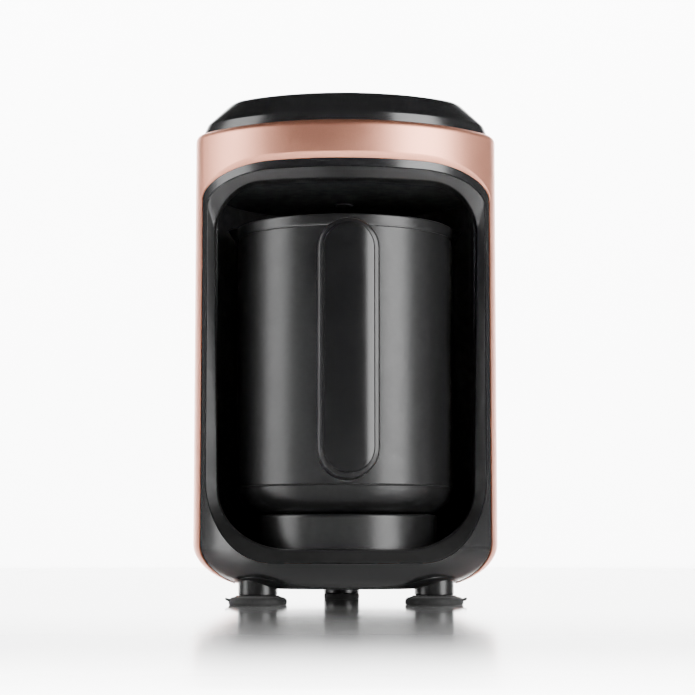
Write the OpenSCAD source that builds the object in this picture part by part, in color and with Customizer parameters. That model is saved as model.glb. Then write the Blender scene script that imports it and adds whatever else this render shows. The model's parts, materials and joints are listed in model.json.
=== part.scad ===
// Electric Turkish coffee maker with a pot that slides out of its bay.
// The front faces -Y and the part stands on the table at z = 0.
// Body positions are measured from the middle of the body's depth.

/* [Housing] */
// Overall width of the body
housing_w = 155; // [150:1:165]
// Depth of the body from the front curve to the back
housing_d = 180; // [176:1:195]
// Height of the underside above the table
underside_z = 8; // [6:0.5:10]
// Height of the sleeve's top edge above the table
sleeve_top_z = 241; // [239:0.5:248]
// Radius of the front curve in plan
front_curve_r = 95; // [92:1:100]
// Radius of the front corners in plan
front_corner_r = 20; // [17:0.5:23]
// Radius of the back corners in plan
rear_corner_r = 30; // [22:1:36]
// Wall of the metal-finished sleeve
sleeve_wall = 2.2; // [1.8:0.1:2.6]
// How far the bowl of the underside runs in from the sides
bowl_side_run = 45; // [36:1:50]
// How high the bowl of the underside rises at the sides
bowl_side_rise = 28; // [24:1:32]
// How far the chin runs in from the front
bowl_front_run = 26; // [20:1:30]
// How high the chin rises at the front
bowl_front_rise = 22; // [18:1:26]
// How far the underside runs in from the back
bowl_rear_run = 30; // [24:1:36]
// How high the underside rises at the back
bowl_rear_rise = 26; // [20:1:30]
// Width of the rounded shoulder at the sleeve's top
shoulder_run = 3.7; // [3:0.1:4.5]
// Height of the rounded shoulder at the sleeve's top
shoulder_rise = 3.7; // [3:0.1:5]

/* [Front frame] */
// Width of the sleeve's strip beside the cut in its front
strip_w = 4; // [3.4:0.1:5]
// Height of the sleeve's band above the cut
top_band_h = 19.8; // [17:0.1:22]
// Width of the arch at each upper corner of the cut
cut_arch_run = 36; // [30:1:42]
// Drop of the arch at each upper corner of the cut
cut_arch_rise = 15; // [12:0.5:18]
// Wall of the front frame
frame_wall = 2.4; // [2:0.1:3]
// How far the front frame lies behind the sleeve's face
frame_inset = 0.6; // [0.4:0.1:1]
// Width of the flat rim at the sides of the frame
rim_w = 2.5; // [2:0.1:3.2]
// Height of the flat rim at the top of the frame
rim_top_h = 4.2; // [3.5:0.1:5]
// How far the sloping surround runs in at the sides, near its top
surround_side_top = 4; // [3:0.1:5]
// How far the sloping surround runs in at the sides, near its bottom
surround_side_low = 6.5; // [5.5:0.1:8]
// How far the sloping surround comes down at the top
surround_top_drop = 5.5; // [4:0.5:7]
// How far the sloping surround rises at the bottom
surround_low_rise = 7; // [6:0.5:8]
// Depth of the sloping surround behind the front face
surround_depth = 16; // [13:0.5:18]
// Thickness of the surround at its inner lip
surround_wall = 2.4; // [2:0.1:3]

/* [Pot bay] */
// Room between the bay's liner and the sleeve's side wall
liner_side_room = 6.8; // [5:0.2:9]
// Wall of the bay's liner
bay_wall = 2.5; // [2:0.1:3]
// Height of the bay's floor above the table
bay_floor_z = 27.5; // [26:0.5:29]
// Thickness of the bay's floor and ceiling plates
bay_plate = 2.5; // [2:0.1:3]
// Gap between the dock and the surround in front of it
dock_front_gap = 2; // [1:0.5:6]
// Thickness of the dock's top
dock_plate = 2; // [1.8:0.1:2.4]
// Wall of the dock's skirt
dock_wall = 2.5; // [2:0.1:3.5]
// Distance of the pot's axis in front of the middle of the body
pot_forward = 24; // [22:0.5:26]

/* [Lid] */
// Height of the lid's steep lower facet
lid_band_h = 3.2; // [2.5:0.1:4.5]
// Height of the lid above the sleeve's top edge
lid_h = 15.7; // [14:0.1:21]
// How far the lid's upper facet leans in at the sides
lid_lean_side = 15.2; // [12:0.2:16]
// How far the lid's upper facet leans in at the front
lid_lean_front = 7.7; // [6:0.1:9]
// How far the lid's upper facet leans in at the back
lid_lean_rear = 13; // [10:0.5:15]
// Wall of the lid
lid_wall = 2.4; // [2:0.1:2.8]
// How far the control panel's ends lie inside the control board's
panel_end_in = 9; // [8:0.5:13]
// Width of the control panel
panel_w = 30; // [28:1:32]
// Distance of the control panel's middle behind the body's front
panel_front_in = 48; // [46:0.5:52]
// Radius of a push button
button_r = 8; // [7:0.25:8.5]
// Distance between neighbouring push buttons
button_pitch = 24; // [22:0.5:25]
// How far the buttons stand proud of the panel
button_proud = 1.2; // [1:0.1:1.8]
// Travel of a push button
button_travel = 0.8; // [0.5:0.1:1]

/* [Pot] */
// Gap between the pot and the bay's side walls
pot_side_gap = 9.6; // [8:0.2:12]
// Wall of the pot's outer shell
pot_wall = 2.4; // [2:0.1:2.8]
// Headroom between the pot's rim and the bay's ceiling
pot_headroom = 17.4; // [13:0.2:22]
// Height of the pot's base, up to the seam with the shell
pot_base_h = 14.2; // [13.2:0.1:17]
// Radius of the pot's bottom corner
pot_corner_r = 15; // [12:0.5:16]
// Wall of the steel vessel
vessel_wall = 1; // [0.8:0.1:1.4]
// Height of the vessel's inner floor above the pot's underside
vessel_lift = 9.5; // [9:0.5:11]
// How far the pouring lips stand out from the pot's wall
spout_reach = 5.4; // [4:0.2:6]
// Height of the pouring lips
spout_h = 9; // [7:0.5:11]
// Height of the rim ring
rim_h = 6; // [5:0.5:7]

/* [Handle] */
// Width of the handle's frame
handle_w = 30; // [28:0.5:32]
// Height of the handle's lower end above the pot's seam
handle_low_gap = 1.8; // [1.2:0.2:6]
// Drop of the handle's upper end below the pot's rim
handle_top_drop = 7.6; // [6.6:0.2:14]
// How far the handle's face stands out from the pot's wall
handle_reach = 37.6; // [34:0.2:42]
// Thickness of the grip, with its cover
grip_t = 13; // [12:0.5:15]
// Height of each of the handle's arms
arm_h = 13; // [11:0.5:15]
// Margin of the frame around the front cover
cover_margin = 2.5; // [2:0.1:3.5]
// How far the cover stands proud of the frame
cover_proud = 3; // [2:0.1:3.5]

/* [Whisk and drive] */
// Radius of the whisk's ring
whisk_ring_r = 24; // [20:0.5:28]
// Radius of the whisk ring's coil
whisk_coil_r = 2.2; // [1.6:0.1:2.8]
// Radius of the whisk's hub
whisk_hub_r = 6; // [5:0.25:8]
// Radius of the pivot pin in the vessel's floor
pivot_r = 2; // [1.75:0.05:2.5]
// Radius of the stirring motor
motor_r = 17; // [15:0.25:18]
// Height of the stirring motor
motor_h = 20; // [17:0.5:22]
// Room under the stirring motor
motor_low_gap = 3.8; // [3:0.2:6]
// Radius of the magnet carrier
rotor_r = 20; // [18:0.5:22]
// Radius of each magnet
magnet_r = 4; // [3:0.25:4.5]

/* [Feet and cable inlet] */
// Distance of the front feet from the body's sides
foot_side_in = 33.2; // [32:0.1:37]
// Distance of the front feet behind the body's front
foot_front_in = 35; // [33:0.5:38]
// Distance of the back foot in front of the body's back
foot_rear_in = 33; // [30:0.5:40]
// Radius of the front feet's stems
stem_r = 9.85; // [9:0.05:10.5]
// Radius of the suction cups
cup_r = 14.7; // [13.5:0.1:15.5]
// Height of the suction cups
cup_h = 4.8; // [4.2:0.1:5.2]
// Reach of the pull tabs from the middle of the cups
tab_reach = 16.4; // [16:0.1:19]
// Radius of the back foot
rear_foot_r = 9.9; // [9:0.1:11]
// Thickness of the back foot's pad
rear_pad_h = 3; // [2.5:0.1:4]
// Radius of the bore in the cable gland
gland_bore_r = 3.6; // [3:0.1:3.9]
// Distance of the cable gland from the body's side
gland_side_in = 41.5; // [40:0.5:47]
// Height of the cable gland above the table
gland_z = 46; // [44:1:52]
// How far the gland's collar stands out of the back
gland_proud = 3; // [2:0.25:4]

/* [Electronics] */
// Distance of the control board's ends from the body's sides
board_side_in = 26.5; // [25:0.5:28]
// Width of the control board
board_w = 40; // [38:1:42]
// Thickness of the circuit boards
board_t = 1.6; // [1.2:0.2:2]
// Width of the power board
power_w = 80; // [76:1:90]
// Height of the power board
power_h = 110; // [104:1:120]

/* [Fits] */
// Gap between neighbouring housing pieces
seam_gap = 0.3; // [0.2:0.05:0.4]
// Radial clearance of a pin or shaft that turns
running_gap = 0.05; // [0.03:0.01:0.09]
// Clearance of inserted pieces
insert_gap = 0.1; // [0.05:0.05:0.2]

/* [Hidden] */
$fn = 72;
eps = 0.01;
reach = 200;

// Colours
rose = "#c98f7d";
gloss_black = "#111113";
satin_black = "#1d1d1f";
rubber_black = "#18181a";
inner_black = "#26262a";
steel = "#b9bcc0";
board_green = "#1f5a3a";
copper = "#b87845";
nickel = "#c8c4b4";
lens_grey = "#8a8f96";
relay_blue = "#2b5fa8";
terminal_green = "#3a6d3f";
lead_red = "#8c2f2a";
lead_grey = "#c9c9c4";

// Steps along the arcs of the outlines
n_front = 10;
n_corner = 6;
n_bowl = 10;
n_edge = 5;

// Reference planes of the body
half_w = housing_w / 2;
front_y = -housing_d / 2;
rear_y = housing_d / 2;
curve_cy = front_y + front_curve_r;
lid_top_z = sleeve_top_z + lid_h;
cut_half_w = half_w - strip_w;
cut_top_z = sleeve_top_z - top_band_h;

// Floor, mouth and ceiling of the bay
mouth_step = 0.5;
mouth_bottom_z = bay_floor_z + mouth_step;
chin_top_z = mouth_bottom_z - surround_low_rise;
window_half_w = cut_half_w - rim_w;
window_top_z = cut_top_z - rim_top_h;
mouth_half_top = window_half_w - surround_side_top;
mouth_half_bottom = window_half_w - surround_side_low;
mouth_top_z = window_top_z - surround_top_drop;
bay_ceiling_z = mouth_top_z + mouth_step;
bay_half_w = half_w - sleeve_wall - liner_side_room - bay_wall;

// The dock stands as high as the motor and the drive under it need
base_wall = 2.2;
drive_room = 9.5;
dock_top_z = underside_z + base_wall + motor_low_gap + motor_h + drive_room + dock_plate;

// The pot, between the dock and the ceiling
pot_y = -pot_forward;
pot_r = bay_half_w - pot_side_gap;
dock_r = pot_y - front_y - surround_depth - dock_front_gap;
pot_seam_z = dock_top_z + pot_base_h;
pot_top_z = bay_ceiling_z - pot_headroom;
handle_bottom_z = pot_seam_z + handle_low_gap;
handle_top_z = pot_top_z - handle_top_drop;
handle_face_y = pot_y - pot_r - handle_reach;
gland_back_y = rear_y + gland_proud;
// The origin lies under the middle of the part's box
body_y = -(handle_face_y + gland_back_y) / 2;

function arc_points(cx, cy, rx, ry, a0, a1, n) =
    [for (i = [0:n]) let (a = a0 + (a1 - a0) * i / n) [cx + rx * cos(a), cy + ry * sin(a)]];
function mirrored_half(half) = [for (i = [len(half) - 1:-1:0]) [-half[i][0], half[i][1]]];
function tail(list, from) = [for (i = [from:len(list) - 1]) list[i]];
function without_last(list) = [for (i = [0:len(list) - 2]) list[i]];

// Outline of the body in plan, set in by its own amount at each side, with its own corner radii
function plan_half(side_in, front_in, rear_in, corner_r, back_r) =
    let (
        curve_r = front_curve_r - front_in,
        cx = half_w - side_in - corner_r,
        cy = curve_cy - sqrt(pow(curve_r - corner_r, 2) - cx * cx),
        meet = atan2(cy - curve_cy, cx)
    )
    concat(
        arc_points(0, curve_cy, curve_r, curve_r, -90, meet, n_front),
        tail(arc_points(cx, cy, corner_r, corner_r, meet, 0, n_corner), 1),
        arc_points(half_w - side_in - back_r, rear_y - rear_in - back_r, back_r, back_r, 0, 90, n_corner)
    );
function plan_outline(side_in, front_in, rear_in, corner_r, back_r) =
    let (half = plan_half(side_in, front_in, rear_in, corner_r, back_r))
    concat(half, without_last(mirrored_half(half)));
function plan_inset(inset) =
    plan_outline(inset, inset, inset, front_corner_r - inset, rear_corner_r - inset);

// Outline of the body seen from the front, open above its top
function face_outline(inset, top) =
    let (half = concat(
        arc_points(half_w - bowl_side_run, underside_z + bowl_side_rise,
            bowl_side_run - inset, bowl_side_rise - inset, -90, 0, n_bowl),
        [[half_w - inset, top]]))
    concat(half, mirrored_half(half));

// Outline of the body seen from the side, open above its top
function flank_outline(inset, top) =
    concat(
        [[rear_y - inset, top], [front_y + inset, top]],
        arc_points(front_y + bowl_front_run, underside_z + bowl_front_rise,
            bowl_front_run - inset, bowl_front_rise - inset, 180, 270, n_bowl),
        arc_points(rear_y - bowl_rear_run, underside_z + bowl_rear_rise,
            bowl_rear_run - inset, bowl_rear_rise - inset, 270, 360, n_bowl));

// Front surface of the body over a point of its front view
corner_cx = half_w - front_corner_r;
corner_cy = curve_cy - sqrt(pow(front_curve_r - front_corner_r, 2) - corner_cx * corner_cx);
function curve_y(x) =
    abs(x) < corner_cx * front_curve_r / (front_curve_r - front_corner_r)
        ? curve_cy - sqrt(front_curve_r * front_curve_r - x * x)
        : corner_cy - sqrt(max(0, pow(front_corner_r, 2) - pow(abs(x) - corner_cx, 2)));
function chin_y(z) =
    let (drop = max(0, underside_z + bowl_front_rise - z) / bowl_front_rise)
    front_y + bowl_front_run - bowl_front_run * sqrt(max(0, 1 - drop * drop));
function face_y(p) = max(curve_y(p[0]), chin_y(p[1]));

// Closed outline of an opening in the front view: straight sides that may lean,
// and corners that are quarter ellipses
function portal_half(w_bottom, w_top, z_bottom, z_top, low, high) =
    concat(
        [for (i = [0:n_edge - 1]) [(w_bottom - low[0]) * i / n_edge, z_bottom]],
        arc_points(w_bottom - low[0], z_bottom + low[1], low[0], low[1], -90, 0, n_bowl),
        arc_points(w_top - high[0], z_top - high[1], high[0], high[1], 0, 90, n_bowl),
        [for (i = [1:n_edge]) [(w_top - high[0]) * (1 - i / n_edge), z_top]]);
function portal(w_bottom, w_top, z_bottom, z_top, low, high, grow) =
    let (half = portal_half(w_bottom + grow, w_top + grow, z_bottom - grow, z_top + grow,
        [low[0] + grow, low[1] + grow], [high[0] + grow, high[1] + grow]))
    concat(half, without_last(tail(mirrored_half(half), 1)));

// The cut in the sleeve's front; it runs just below the underside in the middle
cut_drop = 1;
function cut_outline(grow) =
    portal(cut_half_w, cut_half_w, underside_z - cut_drop, cut_top_z,
        [cut_half_w - half_w + bowl_side_run, bowl_side_rise + cut_drop / 2],
        [cut_arch_run, cut_arch_rise], grow);
// The window in the front frame
window_low = [35, 38];
window_high = [cut_arch_run - rim_w, cut_arch_rise - 1];
function window_outline(grow) =
    portal(window_half_w, window_half_w, chin_top_z, window_top_z, window_low, window_high, grow);
// The mouth of the bay, at the surround's inner lip
mouth_low = [36, 30];
mouth_high = [23, 23];
function mouth_outline(grow) =
    portal(mouth_half_bottom, mouth_half_top, mouth_bottom_z, mouth_top_z, mouth_low, mouth_high, grow);

// The two triangles between point i and its neighbour on ring k and the same points on ring next
function ring_step(n, k, next, i) =
    let (a = k * n + i, b = next * n + i, c = next * n + (i + 1) % n, d = k * n + (i + 1) % n)
    [[a, b, c], [a, c, d]];
// Solid between rings of points that lie one above the other, each with the same number of points
module loft(rings) {
    n = len(rings[0]);
    m = len(rings);
    sides = [for (k = [0:m - 2], i = [0:n - 1], t = ring_step(n, k, k + 1, i)) t];
    base = [[for (i = [0:n - 1]) i]];
    top = [[for (i = [n - 1:-1:0]) (m - 1) * n + i]];
    polyhedron(points = [for (r = rings, p = r) p], faces = concat(base, sides, top), convexity = 4);
}

// Closed band whose section is the loop of rings
module ring_loft(rings) {
    n = len(rings[0]);
    m = len(rings);
    polyhedron(points = [for (r = rings, p = r) p],
        faces = [for (k = [0:m - 1], i = [0:n - 1], t = ring_step(n, (k + 1) % m, k, i)) t], convexity = 6);
}
function at_height(outline, z) = [for (p = outline) [p[0], p[1], z]];

// Everything is drawn around the middle of the body and then set on the part's origin
module on_origin() {
    translate([0, body_y, 0]) children();
}
module on_pot_axis() {
    translate([0, body_y + pot_y, 0]) children();
}
module along_y(from, to) {
    translate([0, to, 0]) rotate([90, 0, 0]) linear_extrude(to - from) children();
}
module along_x(from, to) {
    translate([from, 0, 0]) rotate([90, 0, 90]) linear_extrude(to - from) children();
}
module between_z(from, to) {
    translate([0, 0, from]) linear_extrude(to - from) children();
}
module rod_z(x, y, from, to, r) {
    translate([x, y, from]) cylinder(r = r, h = to - from);
}
module rod_y(x, z, from, to, r) {
    translate([x, to, z]) rotate([90, 0, 0]) cylinder(r = r, h = to - from);
}
module rod_x(y, z, from, to, r) {
    translate([from, y, z]) rotate([0, 90, 0]) cylinder(r = r, h = to - from);
}
module box_between(low, high) {
    translate(low) cube(high - low);
}
function rounded_outline(length, width, r) =
    concat(
        arc_points(length / 2 - r, r - width / 2, r, r, -90, 0, n_corner),
        arc_points(length / 2 - r, width / 2 - r, r, r, 0, 90, n_corner),
        arc_points(r - length / 2, width / 2 - r, r, r, 90, 180, n_corner),
        arc_points(r - length / 2, r - width / 2, r, r, 180, 270, n_corner));

// The body's closed form, set in from its outer faces
module envelope(inset, top) {
    intersection() {
        between_z(0, top) polygon(plan_inset(inset));
        along_y(-reach, reach) polygon(face_outline(inset, top + 1));
        along_x(-reach, reach) polygon(flank_outline(inset, top + 1));
    }
}
module body_skin(inset, wall, top) {
    difference() {
        envelope(inset, top);
        envelope(inset + wall, top + 1);
    }
}

// The removable plate under the body
base_side_in = 21.5;
base_front_in = 19;
base_rear_in = 16;
base_half_w = half_w - base_side_in;
base_front_y = front_y + base_front_in;
base_rear_y = rear_y - base_rear_in;
base_corner_r = 20;
base_zone_h = 10;
base_zone_z = underside_z + base_zone_h;
module base_area(grow) {
    translate([0, (base_front_y + base_rear_y) / 2])
        polygon(rounded_outline(2 * (base_half_w + grow), base_rear_y - base_front_y + 2 * grow,
            base_corner_r + grow));
}
// The frame fills the cut back to this plane
frame_back_lap = 3;
frame_back_y = corner_cy + frame_back_lap;

// Cooling slots in the back of the sleeve
vent_count = 9;
vent_pitch = 6;
vent_l = 52;
vent_h = 2.6;
vent_drop = 70;
vent_bottom_z = bay_ceiling_z - vent_drop;
module sleeve_vents() {
    for (i = [0:vent_count - 1])
        box_between([-vent_l / 2, rear_y - 2 * sleeve_wall, vent_bottom_z + i * vent_pitch],
            [vent_l / 2, rear_y + 1, vent_bottom_z + i * vent_pitch + vent_h]);
}

// The lid's seat inside the shoulder
seat_ledge = 1.7;
seat_inset = shoulder_run + seat_ledge;
shoulder_z = sleeve_top_z - shoulder_rise;
shoulder_rings = [for (a = [0, 45, 90])
    at_height(plan_inset(shoulder_run * (1 - cos(a))), shoulder_z + shoulder_rise * sin(a))];
gland_wall = 2.9;
gland_neck_r = gland_bore_r + gland_wall;
gland_collar_r = gland_neck_r + gland_proud;
gland_x = half_w - gland_side_in;

module outer_sleeve() {
    color(rose) on_origin() {
        difference() {
            body_skin(0, sleeve_wall, shoulder_z);
            along_y(-reach, frame_back_y) polygon(cut_outline(0));
            between_z(0, base_zone_z) base_area(seam_gap);
            sleeve_vents();
            rod_y(gland_x, gland_z, rear_y - 2 * sleeve_wall, rear_y + 1, gland_neck_r + insert_gap);
        }
        difference() {
            loft(shoulder_rings);
            between_z(shoulder_z - 1, sleeve_top_z + 1) polygon(plan_inset(seat_inset));
        }
    }
}

module front_frame() {
    color(gloss_black) on_origin()
        difference() {
            intersection() {
                body_skin(frame_inset, frame_wall, cut_top_z + 1);
                along_y(-reach, frame_back_y - seam_gap) polygon(cut_outline(-seam_gap));
            }
            along_y(-reach, 0) polygon(window_outline(0));
            between_z(0, base_zone_z) base_area(seam_gap);
        }
}

// Sloping band from the frame's window to the mouth of the bay
surround_land = 3.5;
surround_front = [for (p = window_outline(-insert_gap)) [p[0], face_y(p) + frame_inset, p[1]]];
surround_root = [for (p = surround_front) [p[0], p[1] + surround_land, p[2]]];
surround_lip = [for (p = mouth_outline(0)) [p[0], curve_y(p[0]) + surround_depth, p[1]]];
surround_back = [for (i = [0:len(surround_lip) - 1])
    let (p = mouth_outline(surround_wall)[i]) [p[0], surround_lip[i][1], p[1]]];
module opening_surround() {
    color(gloss_black) on_origin() ring_loft([surround_front, surround_lip, surround_back, surround_root]);
}

// Bay: a U-shaped liner between a floor plate and a ceiling plate
liner_front_y = curve_y(mouth_half_top) + surround_depth + seam_gap;
liner_r = bay_half_w + bay_wall;
liner_steps = 24;
chassis_t = 2.5;
chassis_y = pot_y + liner_r + seam_gap;
chassis_back_y = chassis_y + chassis_t;
function bay_outline(w) =
    concat([[w, liner_front_y]], arc_points(0, pot_y, w, w, 0, 180, liner_steps), [[-w, liner_front_y]]);
plate_inset = sleeve_wall + seam_gap;
plate_steps = 14;
plate_half = concat(
    [for (i = [0:plate_steps]) let (x = (half_w - plate_inset) * i / plate_steps)
        [x, curve_y(x) + surround_depth + seam_gap]],
    arc_points(half_w - rear_corner_r, rear_y - rear_corner_r,
        rear_corner_r - plate_inset, rear_corner_r - plate_inset, 0, 90, n_corner));
plate_outline = concat(plate_half, without_last(mirrored_half(plate_half)));

// Connector between the bay and the pot
socket_half_w = 12;
socket_low_z = dock_top_z + 3;
socket_h = 10;
socket_reach = 4.4;
socket_depth = 9.3;
socket_back_y = pot_y + pot_r + socket_reach;
block_margin = 1;
pin_t = 1.2;
pin_h = 4;
pin_pitch = 7;
pin_z = socket_low_z + socket_h / 2;
pin_engage = 5.5;
pin_tail = 3;

module bay_liner() {
    color(inner_black) on_origin()
        difference() {
            between_z(bay_floor_z, bay_ceiling_z) difference() {
                polygon(bay_outline(liner_r));
                polygon(concat([[bay_half_w, liner_front_y - 1]], bay_outline(bay_half_w),
                    [[-bay_half_w, liner_front_y - 1]]));
            }
            connector_hole(insert_gap);
        }
}
module connector_hole(grow) {
    box_between(
        [-socket_half_w - block_margin - grow, socket_back_y, socket_low_z - block_margin - grow],
        [socket_half_w + block_margin + grow, chassis_back_y + 1,
            socket_low_z + socket_h + block_margin + grow]);
}

motor_room = 0.6;
motor_hole_r = motor_r + motor_room;
lead_hole_r = 6;
lead_hole_back = 10.7;
lead_hole_y = chassis_back_y + lead_hole_back;
control_lead_x = -20;
motor_lead_x = 10;
cover_screw_side_in = 20;
cover_screw_x = base_half_w - cover_screw_side_in;
cover_screw_front_in = 41;
cover_screw_rear_in = 24;
cover_screw_ys = [base_front_y + cover_screw_front_in, base_rear_y - cover_screw_rear_in];
floor_boss_r = 4;
plate_post_r = 3;
plate_post_at = motor_r + 11;
post_angles = [0, 120, 240];
screw_r = 1.5;
screw_hole_r = screw_r + running_gap;
floor_bottom_z = bay_floor_z - bay_plate;
cover_boss_h = 6;
cover_boss_top_z = underside_z + cover_boss_h;
motor_top_z = dock_top_z - dock_plate - drive_room;

module bay_floor() {
    color(inner_black) on_origin()
        difference() {
            union() {
                intersection() {
                    between_z(floor_bottom_z, bay_floor_z) polygon(plate_outline);
                    envelope(plate_inset, sleeve_top_z);
                }
                for (side = [-1, 1], y = cover_screw_ys)
                    rod_z(side * cover_screw_x, y, cover_boss_top_z, floor_bottom_z + eps, floor_boss_r);
                translate([0, pot_y, 0])
                    plate_posts(bay_floor_z - eps, motor_top_z, plate_post_r);
            }
            rod_z(0, pot_y, 0, bay_floor_z + 1, motor_hole_r);
            rod_z(motor_lead_x, lead_hole_y, 0, bay_floor_z + 1, lead_hole_r);
            for (side = [-1, 1], y = cover_screw_ys)
                rod_z(side * cover_screw_x, y, 0, floor_bottom_z, screw_hole_r);
            translate([0, pot_y, 0]) plate_posts(bay_floor_z, motor_top_z + 1, screw_hole_r);
        }
}
module plate_posts(from, to, r) {
    for (a = post_angles) rotate(a) rod_z(plate_post_at, 0, from, to, r);
}

sensor_y = pot_y + 20;
sensor_lens_r = 5;
sensor_w = 24;
sensor_d = 16;
sensor_h = 8;
sensor_proud = 0.6;
ceiling_top_z = bay_ceiling_z + bay_plate;
module bay_ceiling() {
    color(inner_black) on_origin()
        difference() {
            between_z(bay_ceiling_z, ceiling_top_z) polygon(plate_outline);
            rod_z(0, sensor_y, bay_ceiling_z - 1, ceiling_top_z + 1, sensor_lens_r + insert_gap);
            rod_z(control_lead_x, lead_hole_y, bay_ceiling_z - 1, ceiling_top_z + 1, lead_hole_r);
        }
}

// Upright plate behind the bay, which carries the power board
chassis_side_in = 8;
chassis_half_w = half_w - chassis_side_in;
power_post_l = 6;
power_post_r = 3;
power_y = chassis_back_y + power_post_l;
power_back_y = power_y + board_t;
power_lift = 47.5;
power_z = bay_floor_z + power_lift + power_h / 2;
power_hole_in = 4.5;
power_holes = [for (sx = [-1, 1], sz = [-1, 1])
    [sx * (power_w / 2 - power_hole_in), power_z + sz * (power_h / 2 - power_hole_in)]];
module rear_chassis() {
    color(inner_black) on_origin()
        difference() {
            union() {
                box_between([-chassis_half_w, chassis_y, bay_floor_z],
                    [chassis_half_w, chassis_back_y, bay_ceiling_z]);
                for (p = power_holes) rod_y(p[0], p[1], chassis_back_y - eps, power_y, power_post_r);
            }
            connector_hole(insert_gap);
            for (p = power_holes) rod_y(p[0], p[1], chassis_back_y, power_y + 1, screw_hole_r);
        }
}

module dock() {
    color(satin_black) on_pot_axis()
        difference() {
            rod_z(0, 0, bay_floor_z, dock_top_z, dock_r);
            rod_z(0, 0, bay_floor_z - 1, dock_top_z - dock_plate, dock_r - dock_wall);
        }
}

// Base plate with the stems of the feet
foot_x = half_w - foot_side_in;
foot_y = front_y + foot_front_in;
rear_foot_y = rear_y - foot_rear_in;
stem_in = 6;
stem_top_z = underside_z + stem_in;
plug_r = 4;
plug_h = 6;
screw_head_r = 3;
screw_head_h = 2.2;
cover_head_z = underside_z + 0.8;
cover_boss_r = 5.5;
base_slot_count = 5;
base_slot_l = 30;
base_slot_w = 3;
base_slot_pitch = 6;
base_slot_y = 2;
module bottom_cover() {
    color(satin_black) on_origin()
        difference() {
            union() {
                intersection() {
                    body_skin(0, base_wall, base_zone_z);
                    between_z(0, base_zone_z - 1) base_area(0);
                }
                for (side = [-1, 1]) {
                    rod_z(side * foot_x, foot_y, cup_h, stem_top_z, stem_r);
                    for (y = cover_screw_ys)
                        rod_z(side * cover_screw_x, y, underside_z + 1, cover_boss_top_z, cover_boss_r);
                }
                rod_z(0, rear_foot_y, rear_pad_h, stem_top_z, rear_foot_r);
            }
            for (side = [-1, 1]) {
                rod_z(side * foot_x, foot_y, 0, cup_h + plug_h, plug_r);
                for (y = cover_screw_ys) {
                    rod_z(side * cover_screw_x, y, 0, base_zone_z, screw_hole_r);
                    rod_z(side * cover_screw_x, y, 0, cover_head_z + screw_head_h, screw_head_r + insert_gap);
                }
            }
            rod_z(0, rear_foot_y, 0, rear_pad_h + plug_h, plug_r);
            for (i = [0:base_slot_count - 1])
                box_between([-base_slot_l / 2, base_slot_y + i * base_slot_pitch, 0],
                    [base_slot_l / 2, base_slot_y + i * base_slot_pitch + base_slot_w, base_zone_z]);
        }
}

// Lid with a steep lower facet and a leaning upper facet
lid_edge_share = 0.83;
lid_edge_drop = 1.4;
lid_band_in = 0.6;
lid_skirt_h = 4;
lid_skirt_t = 2;
function lid_ring(lean, inset) =
    let (base_in = shoulder_run + lid_band_in)
    plan_outline(base_in + lid_lean_side * lean + inset, base_in + lid_lean_front * lean + inset,
        base_in + lid_lean_rear * lean + inset,
        front_corner_r - base_in - inset, rear_corner_r - base_in - inset);
lid_band_z = sleeve_top_z + lid_band_h;
lid_inner_z = lid_top_z - lid_wall;
panel_y = front_y + panel_front_in;
panel_flange = 2;
panel_flange_t = 1.6;
flange_bottom_z = lid_inner_z - panel_flange_t;
button_flange_r = button_r + 1.6;
button_flange_t = 1.2;
button_low_z = flange_bottom_z - seam_gap - button_flange_t;
button_top_z = lid_top_z + button_proud;
stem_l = 2;
stem_rod_r = 2.5;
switch_w = 6;
switch_h = 2.5;
switch_plunger_r = 1.75;
switch_plunger_h = 0.8;
switch_gap = button_travel + insert_gap;
board_top_z = button_low_z - stem_l - switch_gap - switch_h;
board_bottom_z = board_top_z - board_t;
board_l = housing_w - 2 * board_side_in;
panel_l = board_l - 2 * panel_end_in;
board_hole_in = 3.5;
board_hole_x = board_l / 2 - board_hole_in;
board_hole_y = board_w / 4;
board_post_r = 3;
board_screw_r = 1.2;
board_head_r = 2.3;
board_head_h = 1.6;
board_hole_end = 2;
board_holes = [for (sx = [-1, 1], sy = [-1, 1]) [sx * board_hole_x, panel_y + sy * board_hole_y]];
button_xs = [-button_pitch, 0, button_pitch];
lens_forward = (panel_w / 2 + button_r) / 2;
lens_r = 1.2;

module lid() {
    color(gloss_black) on_origin() {
        difference() {
            union() {
                difference() {
                    loft([
                        at_height(plan_inset(shoulder_run), sleeve_top_z),
                        at_height(lid_ring(0, 0), lid_band_z),
                        at_height(lid_ring(lid_edge_share, 0), lid_top_z - lid_edge_drop),
                        at_height(lid_ring(1, 0), lid_top_z)]);
                    loft([
                        at_height(lid_ring(0, lid_wall), sleeve_top_z - 1),
                        at_height(lid_ring(0, lid_wall), lid_band_z),
                        at_height(lid_ring(lid_edge_share, lid_wall), lid_inner_z)]);
                }
                for (p = board_holes) rod_z(p[0], p[1], board_top_z, lid_inner_z + eps, board_post_r);
                difference() {
                    between_z(sleeve_top_z - lid_skirt_h, sleeve_top_z + 1)
                        polygon(plan_inset(seat_inset + insert_gap));
                    between_z(sleeve_top_z - lid_skirt_h - 1, sleeve_top_z + 2)
                        polygon(plan_inset(seat_inset + insert_gap + lid_skirt_t));
                }
            }
            translate([0, panel_y, 0]) between_z(lid_inner_z - 1, lid_top_z + 1)
                polygon(rounded_outline(panel_l, panel_w, panel_w / 2));
            for (p = board_holes)
                rod_z(p[0], p[1], board_top_z - 1, lid_inner_z - board_hole_end, board_screw_r + running_gap);
        }
    }
}

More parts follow.
